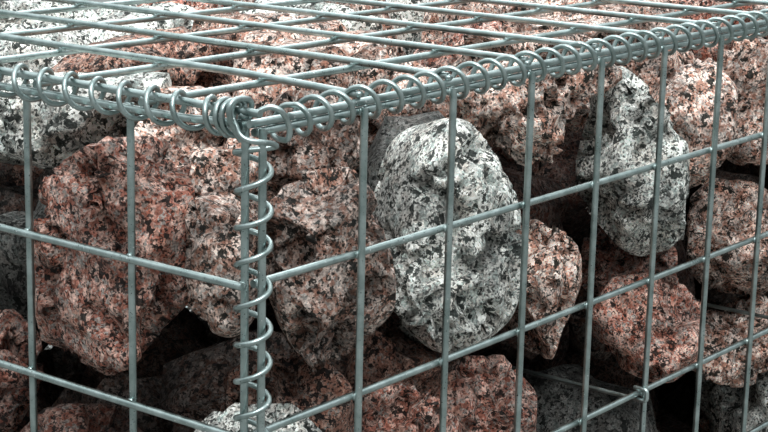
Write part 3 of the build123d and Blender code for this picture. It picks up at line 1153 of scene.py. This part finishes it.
def seen_axes(centre):
    """Right, up and away at a place, as the camera sees it."""
    away = centre - (np.array(CAMERA_FROM_CORNER) + Z * HEIGHT)
    away /= np.linalg.norm(away)
    right = np.cross(away, Z)
    right /= np.linalg.norm(right)
    return right, np.cross(right, away), away


def chosen_stones(rng, low, high, ties):
    """The listed stones, broken down as the random ones are."""
    stones = []
    for name, (place, reaches, depth, kind, edge, count, shade) in CHOSEN.items():
        centre = np.array(place) + Z * HEIGHT
        right, up, away = seen_axes(centre)
        normals, limits = room_planes(centre, low, high, ties)
        ring = [right * cos(step * pi / 4) + up * sin(step * pi / 4) for step in range(8)]
        normals = np.concatenate([normals, ring, [-away, away]])
        limits = np.concatenate([limits, np.array([*reaches, *depth]) / 1000 + CHOSEN_MARGIN])
        bites = random_bites(rng)
        if name == "big_red":
            way = HOLLOW_WAY / np.linalg.norm(HOLLOW_WAY)
            bites.append((way, HOLLOW_WIDTH, HOLLOW_DEPTH))
        points, faces = stone_surface(rng, normals, limits, count, edge, bites)
        stones.append((centre, points, faces, KINDS.index(kind), shade))
    return stones


def facets(tree, place, size):
    """How deep broken facets of about one size lie, each tilted its own way."""
    cell = cells(tree, place, divided(tree, 1.0, size))
    away = vector_maths(tree, "SUBTRACT", place, cell["Position"])
    tilt = vector_maths(tree, "SUBTRACT", cell["Color"], (0.5, 0.5, 0.5))
    step = times(tree, add(tree, "ShaderNodeSeparateXYZ", Vector=tilt).outputs[0], size)
    slope = times(tree, dot_product(tree, away, tilt), FACET_SLOPE)
    return plus(tree, slope, times(tree, step, FACET_STEP))


def broken_depth(tree, given):
    """How far a stone's surface is broken inwards: facets large and small, and grit."""
    position = tree.nodes.new("GeometryNodeInputPosition").outputs[0]
    scale = divided(tree, 1.0, given["Facet"])
    bend = times(tree, given["Facet"], FACET_BEND)
    shift = random_shift(tree, noise(tree, position, scale, *FACET_WAVES), bend)
    bent = vector_maths(tree, "ADD", position, shift)
    small_size = times(tree, given["Facet"], SMALL_FACETS)
    broken = plus(tree, facets(tree, bent, given["Facet"]), facets(tree, bent, small_size))
    waves, *rest = GRIT_WAVES
    grit = noise(tree, bent, times(tree, scale, waves), *rest)[0]
    grit = times(tree, minus(tree, grit, 0.5), times(tree, given["Depth"], GRIT_DEPTH))
    depth = plus(tree, plus(tree, broken, grit), given["Depth"])
    deepest = times(tree, given["Depth"], DEEPEST)
    return maths(tree, "MINIMUM", maths(tree, "MAXIMUM", depth, 0.0), deepest)


def rough_stone_tree():
    """Breaks stones inwards, and gives each its kind of granite."""
    inputs = [GEOMETRY, ("Facet", "NodeSocketFloat"), ("Depth", "NodeSocketFloat")]
    inputs += [(name, "NodeSocketMaterial") for name in KINDS]
    tree, given, out = tree_with("GeometryNodeTree", "rough_stone", inputs, [GEOMETRY])
    normal = tree.nodes.new("GeometryNodeInputNormal").outputs[0]
    inwards = scaled(tree, normal, times(tree, broken_depth(tree, given), -1.0))
    move = {"Geometry": given["Geometry"], "Offset": inwards}
    moved = add(tree, "GeometryNodeSetPosition", **move).outputs[0]
    geometry = made_real(tree, shaded_smooth(tree, moved))
    kind = attribute(tree, "kind", "INT")
    for index, name in enumerate(KINDS):
        equal = {"data_type": "INT", "operation": "EQUAL"}
        same = add(tree, "FunctionNodeCompare", equal, i2=kind, i3=index).outputs[0]
        coat = {"Geometry": geometry, "Selection": same, "Material": given[name]}
        geometry = add(tree, "GeometryNodeSetMaterial", **coat).outputs[0]
    tree.links.new(geometry, out["Geometry"])
    return tree


def quad_mesh(name, points, faces):
    mesh = bpy.data.meshes.new(name)
    mesh.vertices.add(len(points))
    mesh.vertices.foreach_set("co", points.ravel())
    mesh.loops.add(faces.size)
    mesh.loops.foreach_set("vertex_index", faces.ravel())
    mesh.polygons.add(len(faces))
    mesh.polygons.foreach_set("loop_start", np.arange(0, faces.size, 4))
    mesh.update(calc_edges=True)
    return mesh


def mark(mesh, name, kind, domain, values):
    """Gives a mesh an attribute, with the values of one stone after the other."""
    field = "vector" if kind == "FLOAT_VECTOR" else "value"
    made = mesh.attributes.new(name, kind, domain)
    made.data.foreach_set(field, np.concatenate(values).ravel())


def stones_mesh(name, stones, rng):
    """Many stones as one mesh, with each stone's kind, shade and shift of pattern."""
    points, faces, kinds, shades, shifts = [], [], [], [], []
    first = 0
    for centre, shape, quads, kind, shade in stones:
        points.append(shape + centre + ORIGIN)
        faces.append(quads + first)
        first += len(shape)
        kinds.append(np.full(len(quads), kind))
        shades.append(np.full(len(shape), shade))
        shifts.append(np.tile(rng.uniform(-PATTERN_SHIFT, PATTERN_SHIFT, 3), (len(shape), 1)))
    mesh = quad_mesh(name, np.concatenate(points), np.concatenate(faces))
    mark(mesh, "kind", "INT", "FACE", kinds)
    mark(mesh, "shade", "FLOAT", "POINT", shades)
    mark(mesh, "shift", "FLOAT_VECTOR", "POINT", shifts)
    return mesh


# Finishes

FINISH_OUTPUTS = [
    ("Color", "NodeSocketColor"),
    ("Roughness", "NodeSocketFloat"),
    ("Height", "NodeSocketFloat"),
]
ZINC_INPUTS = [
    ("Zinc", "NodeSocketColor"),
    ("Pits", "NodeSocketFloat"),
    ("Spatter", "NodeSocketFloat"),
]
GRANITE_INPUTS = [
    ("Grain", "NodeSocketFloat"),
    ("Feldspar", "NodeSocketColor"),
    ("Pale feldspar", "NodeSocketColor"),
    ("Quartz", "NodeSocketColor"),
    ("Mica", "NodeSocketColor"),
    ("Mica share", "NodeSocketFloat"),
    ("Quartz share", "NodeSocketFloat"),
    ("Stain", "NodeSocketFloat"),
]

# Patterns of the zinc: waves to a metre, detail and roughness
ZINC_CLOUDS = (90.0, 3.0, 0.6)
ZINC_SPECKS = (750.0, 2.0, 0.6)
ZINC_PATCHES = (28.0, 2.0, 0.5)
ZINC_SPOTS = (520.0, 1.0, 0.5)

# Patterns of the granite: the same
PALE_AREAS = (170.0, 3.0, 0.6)
BLOTCHES = (30.0, 5.0, 0.7)
RUST_AREAS = (70.0, 5.0, 0.75)
CRAGS = (110.0, 5.0, 0.55)
DENTS = (48.0, 4.0, 0.6)

# Patterns of the granite with so many waves to a grain, how many small crystals go to the
# length of a grain, and how wide the ripples are, by that length
RIPPLES = (0.9, 1.0, 0.5)
CLUMPS = (0.35, 3.0, 0.6)
GRIT = (2.0, 4.0, 0.75)
SMALL_CRYSTALS = 2.3
RIPPLE_WIDTH = 0.4

# Shifts that keep two patterns from lying on each other
SPOTS_APART = (3.1, 1.7, 2.3)
PALE_AREAS_APART = (7.3, 2.9, 5.1)

# Colours that the zinc is mixed with, how strongly, and how much rougher its pits are
ZINC_DULLER = srgb(220, 226, 226)
ZINC_PALER = srgb(206, 222, 222)
ZINC_PIT = srgb(44, 46, 46)
ZINC_SPOT = srgb(226, 230, 228)
PALER_COVER = 0.2
SPOT_COVER = 0.8
PIT_ROUGHNESS = 0.3

# Where pits and spots begin, how much further down for a full amount of them, and how
# soft their edges are, and then how many of the pits show between the patches
PITS_FROM = (0.72, 0.2, 0.05)
SPOTS_FROM = (0.74, 0.12, 0.04)
PITS_BETWEEN_PATCHES = 0.25

# From what value to what value each pattern changes, and what it gives at both, if not
# nought and one
CLOUD_CHANGE = (0.3, 0.72)
PATCH_CHANGE = (0.42, 0.62)
ZINC_ROUGHNESS = (0.3, 0.7, 0.27, 0.42)
PALE_AREA_CHANGE = (0.38, 0.62)
PALE_CHANGE = (0.3, 0.75)
BLOTCH_CHANGE = (0.36, 0.64, 0.45, 1.25)
SHADE_CHANGE = (0.0, 1.0, 0.66, 1.5)
# Shade below nought darkens a stone as painted deep shade
DEEP_SHADE_CHANGE = (-1.0, 0.0, 0.3, 1.0)
GRIT_CHANGE = (0.32, 0.68, 0.62, 1.38)
CRYSTAL_CHANGE = (0.1, 0.9, 0.62, 1.38)
RUST_CHANGE = (0.48, 0.62)
GRANITE_ROUGHNESS = (0.0, 1.0, 0.9, 0.45)

# What rust does to the colour under it
RUST_TINT = srgb(224, 178, 152)

# Granite's crystals: the share of dark specks, how much the small crystals and the pale
# areas decide, and how far mica and quartz lie in clumps
SPECK_SHARE = 0.22
AREAS_IN_PALE = 0.5
SMALL_IN_QUARTZ = 0.4
SMALL_IN_MICA = 0.35
SMALL_IN_LIGHTNESS = 0.6
CLUMPING = 2.6
QUARTZ_CLUMPING = 0.4

# How much of the feldspar's colour each kind of crystal hides
SPECK_COVER = 0.75
QUARTZ_COVER = 0.9
MICA_COVER = 0.95

# How high each stands out of a broken face, in metres
CRAG_HEIGHT = 0.0013
DENT_HEIGHT = 0.004
GRIT_HEIGHT = 0.0016
CRYSTAL_HEIGHT = 0.00035
SMALL_CRYSTAL_HEIGHT = 0.0002
MICA_HOLLOW = 0.0003


def object_place(tree):
    return tree.nodes.new("ShaderNodeTexCoord").outputs["Object"]


def stone_value(tree, name, output):
    return add(tree, "ShaderNodeAttribute", {"attribute_name": name}).outputs[output]


def from_limit(tree, field, amount, limit, lower, softness):
    """A mask of the places where noise is over a limit, which comes down with the amount."""
    edge = minus(tree, limit, times(tree, amount, lower))
    return ranged(tree, field, edge, plus(tree, edge, softness))


def zinc_pits(tree, position, specks, amount):
    """A mask of dark pits, more of them in some patches than in others."""
    pits = from_limit(tree, specks, amount, *PITS_FROM)
    patches = ranged(tree, noise(tree, position, *ZINC_PATCHES)[0], *PATCH_CHANGE)
    inside = times(tree, patches, 1 - PITS_BETWEEN_PATCHES)
    return times(tree, pits, plus(tree, inside, PITS_BETWEEN_PATCHES))


def zinc_spatter(tree, position, amount):
    """A mask of pale spots."""
    place = vector_maths(tree, "ADD", position, SPOTS_APART)
    return from_limit(tree, noise(tree, place, *ZINC_SPOTS)[0], amount, *SPOTS_FROM)


def zinc_group():
    """Weathered zinc: clouded grey, dark pits and pale spatter."""
    tree, given, out = tree_with("ShaderNodeTree", "weathered_zinc", ZINC_INPUTS, FINISH_OUTPUTS)
    position = object_place(tree)
    clouds = noise(tree, position, *ZINC_CLOUDS)[0]
    specks = noise(tree, position, *ZINC_SPECKS)[0]
    pits = zinc_pits(tree, position, specks, given["Pits"])
    spatter = zinc_spatter(tree, position, given["Spatter"])
    dark = mixed(tree, 1.0, given["Zinc"], ZINC_DULLER, "MULTIPLY")
    pale = mixed(tree, PALER_COVER, given["Zinc"], ZINC_PALER)
    zinc = mixed(tree, ranged(tree, clouds, *CLOUD_CHANGE), dark, pale)
    colour = mixed(tree, pits, zinc, ZINC_PIT)
    colour = mixed(tree, times(tree, spatter, SPOT_COVER), colour, ZINC_SPOT)
    rough = ranged(tree, clouds, *ZINC_ROUGHNESS)
    tree.links.new(colour, out["Color"])
    tree.links.new(plus(tree, rough, times(tree, pits, PIT_ROUGHNESS)), out["Roughness"])
    tree.links.new(minus(tree, plus(tree, specks, spatter), pits), out["Height"])
    return tree


def grain_noise(tree, place, per_grain, pattern):
    """Smooth random values, with so many waves to a grain."""
    waves, *rest = pattern
    return noise(tree, place, times(tree, per_grain, waves), *rest)


def crystals(tree, given, place, per_grain):
    """Three random values for each large crystal, and three for each small one."""
    bend = times(tree, given["Grain"], RIPPLE_WIDTH)
    shift = random_shift(tree, grain_noise(tree, place, per_grain, RIPPLES), bend)
    warped = vector_maths(tree, "ADD", place, shift)
    large = cells(tree, warped, per_grain)["Color"]
    small = cells(tree, warped, times(tree, per_grain, SMALL_CRYSTALS))["Color"]
    return [add(tree, "ShaderNodeSeparateColor", Color=value).outputs for value in (large, small)]


def feldspar_colour(tree, given, place, large, small):
    """Feldspar: darker and paler crystals, the pale ones in areas, with dark specks."""
    elsewhere = vector_maths(tree, "ADD", place, PALE_AREAS_APART)
    areas = ranged(tree, noise(tree, elsewhere, *PALE_AREAS)[0], *PALE_AREA_CHANGE)
    pale = ranged(tree, blend_of(tree, large[1], areas, AREAS_IN_PALE), *PALE_CHANGE)
    feldspar = mixed(tree, pale, given["Feldspar"], given["Pale feldspar"])
    speck = maths(tree, "LESS_THAN", small[2], SPECK_SHARE)
    return mixed(tree, times(tree, speck, SPECK_COVER), feldspar, given["Mica"])


def crystal_colours(tree, given, place, per_grain, large, small):
    """The colour of each crystal, and a mask of the black ones."""
    feldspar = feldspar_colour(tree, given, place, large, small)
    clumps = grain_noise(tree, place, per_grain, CLUMPS)[0]
    clump = times(tree, minus(tree, clumps, 0.5), CLUMPING)
    quartz = blend_of(tree, large[2], small[0], SMALL_IN_QUARTZ)
    quartz = minus(tree, quartz, times(tree, clump, QUARTZ_CLUMPING))
    is_quartz = maths(tree, "LESS_THAN", quartz, given["Quartz share"])
    mica = plus(tree, blend_of(tree, large[0], small[1], SMALL_IN_MICA), clump)
    is_mica = maths(tree, "LESS_THAN", mica, given["Mica share"])
    colour = mixed(tree, times(tree, is_quartz, QUARTZ_COVER), feldspar, given["Quartz"])
    return mixed(tree, times(tree, is_mica, MICA_COVER), colour, given["Mica"]), is_mica


def granite_tint(tree, place, grit, large, small):
    """How light the face is: by blotches, the stone's shade, part of it painted shade, grit and crystals.
    """
    shade = stone_value(tree, "shade", "Fac")
    lightness = blend_of(tree, large[0], small[2], SMALL_IN_LIGHTNESS)
    tint = ranged(tree, noise(tree, place, *BLOTCHES)[0], *BLOTCH_CHANGE)
    for value, change in (
        (shade, SHADE_CHANGE),
        (shade, DEEP_SHADE_CHANGE),
        (grit, GRIT_CHANGE),
        (lightness, CRYSTAL_CHANGE),
    ):
        tint = times(tree, tint, ranged(tree, value, *change))
    return add(tree, "ShaderNodeCombineColor", Red=tint, Green=tint, Blue=tint).outputs[0]


def granite_relief(tree, place, grit, large, small, is_mica):
    """The height of a broken face in metres: crags, dents, grit and crystals."""
    crags = noise(tree, place, *CRAGS, noise_type="RIDGED_MULTIFRACTAL")[0]
    height = times(tree, crags, CRAG_HEIGHT)
    for value, most in (
        (noise(tree, place, *DENTS)[0], DENT_HEIGHT),
        (grit, GRIT_HEIGHT),
        (large[1], CRYSTAL_HEIGHT),
        (small[1], SMALL_CRYSTAL_HEIGHT),
    ):
        height = plus(tree, height, times(tree, value, most))
    return minus(tree, height, times(tree, is_mica, MICA_HOLLOW))


def granite_group():
    """Granite: coarse crystals of feldspar, quartz and black mica, clouded and stained."""
    tree, given, out = tree_with("ShaderNodeTree", "broken_granite", GRANITE_INPUTS, FINISH_OUTPUTS)
    place = vector_maths(tree, "ADD", object_place(tree), stone_value(tree, "shift", "Vector"))
    per_grain = divided(tree, 1.0, given["Grain"])
    large, small = crystals(tree, given, place, per_grain)
    grit = grain_noise(tree, place, per_grain, GRIT)[0]
    colour, is_mica = crystal_colours(tree, given, place, per_grain, large, small)
    tint = granite_tint(tree, place, grit, large, small)
    colour = mixed(tree, 1.0, colour, tint, "MULTIPLY")
    rust = ranged(tree, noise(tree, place, *RUST_AREAS)[0], *RUST_CHANGE)
    rusty = mixed(tree, 1.0, colour, RUST_TINT, "MULTIPLY")
    colour = mixed(tree, times(tree, rust, given["Stain"]), colour, rusty)
    height = granite_relief(tree, place, grit, large, small, is_mica)
    tree.links.new(colour, out["Color"])
    tree.links.new(ranged(tree, large[1], *GRANITE_ROUGHNESS), out["Roughness"])
    tree.links.new(height, out["Height"])
    return tree


def plain_material(name, values):
    """A material with values on its shader's own sockets, its nodes and its shader."""
    material = bpy.data.materials.new(name)
    material.use_nodes = True
    shader = material.node_tree.nodes["Principled BSDF"]
    for socket, value in values.items():
        shader.inputs[socket].default_value = value
    return material, material.node_tree, shader


def finished_material(name, group, group_values, shader_values, bump):
    """A material whose colour, roughness and relief come from a group."""
    material, tree, shader = plain_material(name, shader_values)
    finish = add(tree, "ShaderNodeGroup", {"node_tree": group}, **group_values).outputs
    tree.links.new(finish["Color"], shader.inputs["Base Color"])
    tree.links.new(finish["Roughness"], shader.inputs["Roughness"])
    relief = add(tree, "ShaderNodeBump", Height=finish["Height"], **bump).outputs[0]
    tree.links.new(relief, shader.inputs["Normal"])
    return material


# Each kind of granite: grain in metres, the colours of its crystals, and how much of it is
# mica or quartz, or stained
GRANITES = {
    RED: {
        "Grain": 0.0026,
        "Feldspar": srgb(168, 110, 94),
        "Pale feldspar": srgb(226, 190, 176),
        "Quartz": srgb(178, 172, 166),
        "Mica": srgb(32, 30, 28),
        "Mica share": 0.15,
        "Quartz share": 0.26,
        "Stain": 0.55,
    },
    PINK: {
        "Grain": 0.0029,
        "Feldspar": srgb(168, 129, 113),
        "Pale feldspar": srgb(234, 215, 204),
        "Quartz": srgb(182, 176, 170),
        "Mica": srgb(24, 31, 26),
        "Mica share": 0.19,
        "Quartz share": 0.26,
        "Stain": 0.45,
    },
    GREY: {
        "Grain": 0.0030,
        "Feldspar": srgb(206, 206, 200),
        "Pale feldspar": srgb(236, 238, 232),
        "Quartz": srgb(184, 196, 191),
        "Mica": srgb(50, 58, 55),
        "Mica share": 0.22,
        "Quartz share": 0.3,
        "Stain": 0.2,
    },
    BROWN: {
        "Grain": 0.0024,
        "Feldspar": srgb(160, 116, 100),
        "Pale feldspar": srgb(200, 166, 150),
        "Quartz": srgb(166, 160, 154),
        "Mica": srgb(28, 25, 24),
        "Mica share": 0.28,
        "Quartz share": 0.22,
        "Stain": 0.45,
    },
}
GRANITE_GLOSS = {"Specular IOR Level": 0.3}
GRANITE_BUMP = {"Strength": 1.0, "Distance": 1.0}

# The zinc of the mesh and of the spirals: colour, pits and spatter
ZINCS = {
    "mesh_zinc": {"Zinc": srgb(162, 176, 174), "Pits": 0.35, "Spatter": 0.1},
    "spiral_zinc": {"Zinc": srgb(150, 163, 161), "Pits": 0.3, "Spatter": 0.1},
}
ZINC_METAL = {"Metallic": 0.97}
ZINC_BUMP = {"Strength": 0.25, "Distance": 0.0002}


# Pieces

# Half sizes of a weld bead, by which way the panel faces
WELD_BEADS = {
    "upright": (0.0026, 0.0019, 0.0026),
    "end": (0.0019, 0.0026, 0.0026),
    "level": (0.0026, 0.0026, 0.0019),
}

# Sides of a wire's section, and steps along a turn of a spiral
WIRE_SIDES = 10
NEAR_BINDERS = ("corner_spiral_front_left", "top_spiral_left_end", "top_spiral_front_bay_1")
NEAR_STEPS_AND_SIDES = (24, 10)
FAR_STEPS_AND_SIDES = (14, 6)


def wire_values(wire, sides, material):
    return {"Wire": wire, "Sides": sides, "Wander": WANDER, "Material": material}


def panel_pieces(tree, zinc):
    front, end, top = front_wires(), end_wires(), lid_wires()
    panels = {
        "front_panel_bay_1": (front, "upright"),
        "front_panel_bay_2": (turned(front, other_bay), "upright"),
        "back_panel_bay_1": (turned(front, other_side), "upright"),
        "back_panel_bay_2": (turned(front, other_side, other_bay), "upright"),
        "lid_panel_bay_1": (top, "level"),
        "lid_panel_bay_2": (turned(top, other_bay), "level"),
        "base_panel": (base_wires(), "level"),
        "end_panel_left": (end, "end"),
        "end_panel_right": (turned(end, other_bay), "end"),
        "divider_panel": (divider_wires(), "end"),
    }
    for name, ((runs, welds), way) in panels.items():
        mesh = layout_mesh(name + "_lines", runs, welds)
        values = wire_values(MESH_WIRE, WIRE_SIDES, zinc)
        values.update({"Step": MESH / 2, "Bead": WELD_BEADS[way]})
        keep(run_tree(tree, mesh, name + "_wires", values), name)


def tie_pieces(tree, zinc):
    for bay in (1, 2):
        name = f"cross_ties_bay_{bay}"
        mesh = layout_mesh(name + "_lines", tie_paths(bay))
        values = wire_values(TIE_WIRE, WIRE_SIDES, zinc)
        keep(run_tree(tree, mesh, name + "_wires", values), name)


def spiral_pieces(tree, zinc):
    binders = {**upright_binders(), **long_binders(), **end_binders(), **divider_binders()}
    for name, binder in binders.items():
        steps, sides = NEAR_STEPS_AND_SIDES if name in NEAR_BINDERS else FAR_STEPS_AND_SIDES
        mesh = layout_mesh(name + "_lines", [spiral_path(name, binder, steps)])
        values = wire_values(SPIRAL_WIRE, sides, zinc)
        keep(run_tree(tree, mesh, name + "_coil", values), name)


def stone_pieces(tree, granites):
    rng = np.random.default_rng(PATTERN_SEED)
    lines = [HEIGHT - row * MESH for row in sorted(TIE_ROWS, reverse=True)]
    for bay in (1, 2):
        lifts = {"lower": [], "middle": [], "upper": []}
        for stone in bay_stones(bay):
            lines_below = sum(stone[0][2] > line for line in lines)
            lifts[("lower", "middle", "upper")[lines_below]].append(stone)
        for lift, members in lifts.items():
            name = f"stone_fill_{lift}_bay_{bay}"
            mesh = stones_mesh(name + "_shapes", members, rng)
            values = {"Facet": FACET, "Depth": BROKEN_DEPTH, **granites}
            keep(run_tree(tree, mesh, name + "_stones", values), name)


# Stage

# Daylight by height, then by side: from what value to what value it changes, and how bright
# it is at both. It is brightest overhead and beyond the wall.
LIGHT_BY_HEIGHT = (0.05, 0.8, 0.06, 1.65)
LIGHT_BY_SIDE = (-0.8, 0.9, 0.9, 1.3)
BEYOND = (0.83, 0.55, 0.0)
SKY_COLOUR = (0.93, 0.98, 1.0, 1.0)

# How bright the plain backdrop looks, and the floor
BACKDROP = 0.5
FLOOR = {"Base Color": srgb(134, 134, 131), "Roughness": 0.9}
FLOOR_SIZE = 30

# Soft lamps: place, size and power, and where both aim
LAMPS = {
    "above_the_corner": ((-1.7, -1.0, 3.0), 1.2, 52),
    "beyond": ((0.8, 1.0, 2.6), 1.4, 24),
}
LAMP_AIM = Vector((0, 0, 0.6))


def seen_directly(tree):
    """One for rays from the camera or off something shiny, else nought."""
    ray = tree.nodes.new("ShaderNodeLightPath").outputs
    shiny = maths(tree, "MAXIMUM", ray["Is Glossy Ray"], ray["Is Transmission Ray"])
    return maths(tree, "MAXIMUM", shiny, ray["Is Camera Ray"])


def daylight(sky):
    """The strength of the sky: brightest overhead, and plain where it is seen."""
    way = sky.nodes.new("ShaderNodeTexCoord").outputs["Generated"]
    height = add(sky, "ShaderNodeSeparateXYZ", Vector=way).outputs[2]
    side = ranged(sky, dot_product(sky, way, BEYOND), *LIGHT_BY_SIDE)
    light = times(sky, ranged(sky, height, *LIGHT_BY_HEIGHT), side)
    return maths(sky, "MAXIMUM", light, times(sky, seen_directly(sky), BACKDROP))


def add_floor():
    bpy.ops.mesh.primitive_plane_add(size=FLOOR_SIZE, location=(0, 0, 0))
    floor = bpy.context.object
    floor.name = "floor"
    floor.data.materials.append(plain_material("pale_floor", FLOOR)[0])


def add_daylight():
    world = bpy.data.worlds.new("studio")
    bpy.context.scene.world = world
    world.use_nodes = True
    sky = world.node_tree
    background = sky.nodes["Background"]
    background.inputs["Color"].default_value = SKY_COLOUR
    sky.links.new(daylight(sky), background.inputs["Strength"])


def add_lamps():
    for name, (place, size, power) in LAMPS.items():
        light = bpy.data.lights.new(name, "AREA")
        light.energy = power
        light.size = size
        lamp = bpy.data.objects.new(name, light)
        lamp.location = place
        lamp.rotation_euler = (LAMP_AIM - Vector(place)).to_track_quat("-Z", "Y").to_euler()
        bpy.context.scene.collection.objects.link(lamp)


def add_camera():
    azimuth, elevation, roll = CAMERA_AZIMUTH, CAMERA_ELEVATION, CAMERA_ROLL
    back = Vector((sin(azimuth) * cos(elevation), -cos(azimuth) * cos(elevation), sin(elevation)))
    right = Vector((cos(azimuth), sin(azimuth), 0))
    up = back.cross(right)
    across = cos(roll) * right + sin(roll) * up
    upright = cos(roll) * up - sin(roll) * right
    turn = Matrix((across, upright, back)).transposed().to_4x4()
    place = Vector(ORIGIN) + Vector(CAMERA_FROM_CORNER) + Vector((0, 0, HEIGHT))
    data = bpy.data.cameras.new("camera")
    data.sensor_width = SENSOR
    data.lens = FOCAL_PIXELS / PICTURE_WIDTH_PIXELS * SENSOR
    data.clip_start = NEAREST_SEEN
    camera = bpy.data.objects.new("camera", data)
    camera.matrix_world = Matrix.Translation(place) @ turn
    bpy.context.scene.collection.objects.link(camera)
    bpy.context.scene.camera = camera


def main():
    bpy.context.scene.view_settings.view_transform = "Standard"
    zinc = zinc_group()
    zincs = {
        name: finished_material(name, zinc, values, ZINC_METAL, ZINC_BUMP)
        for name, values in ZINCS.items()
    }
    rock = granite_group()
    granites = {
        name: finished_material(name, rock, values, GRANITE_GLOSS, GRANITE_BUMP)
        for name, values in GRANITES.items()
    }
    wander = wander_tree()
    bent_wire = bent_wire_tree(wander)
    panel_pieces(welded_mesh_tree(wander), zincs["mesh_zinc"])
    tie_pieces(bent_wire, zincs["mesh_zinc"])
    spiral_pieces(bent_wire, zincs["spiral_zinc"])
    stone_pieces(rough_stone_tree(), granites)
    add_camera()
    add_floor()
    add_daylight()
    add_lamps()


main()
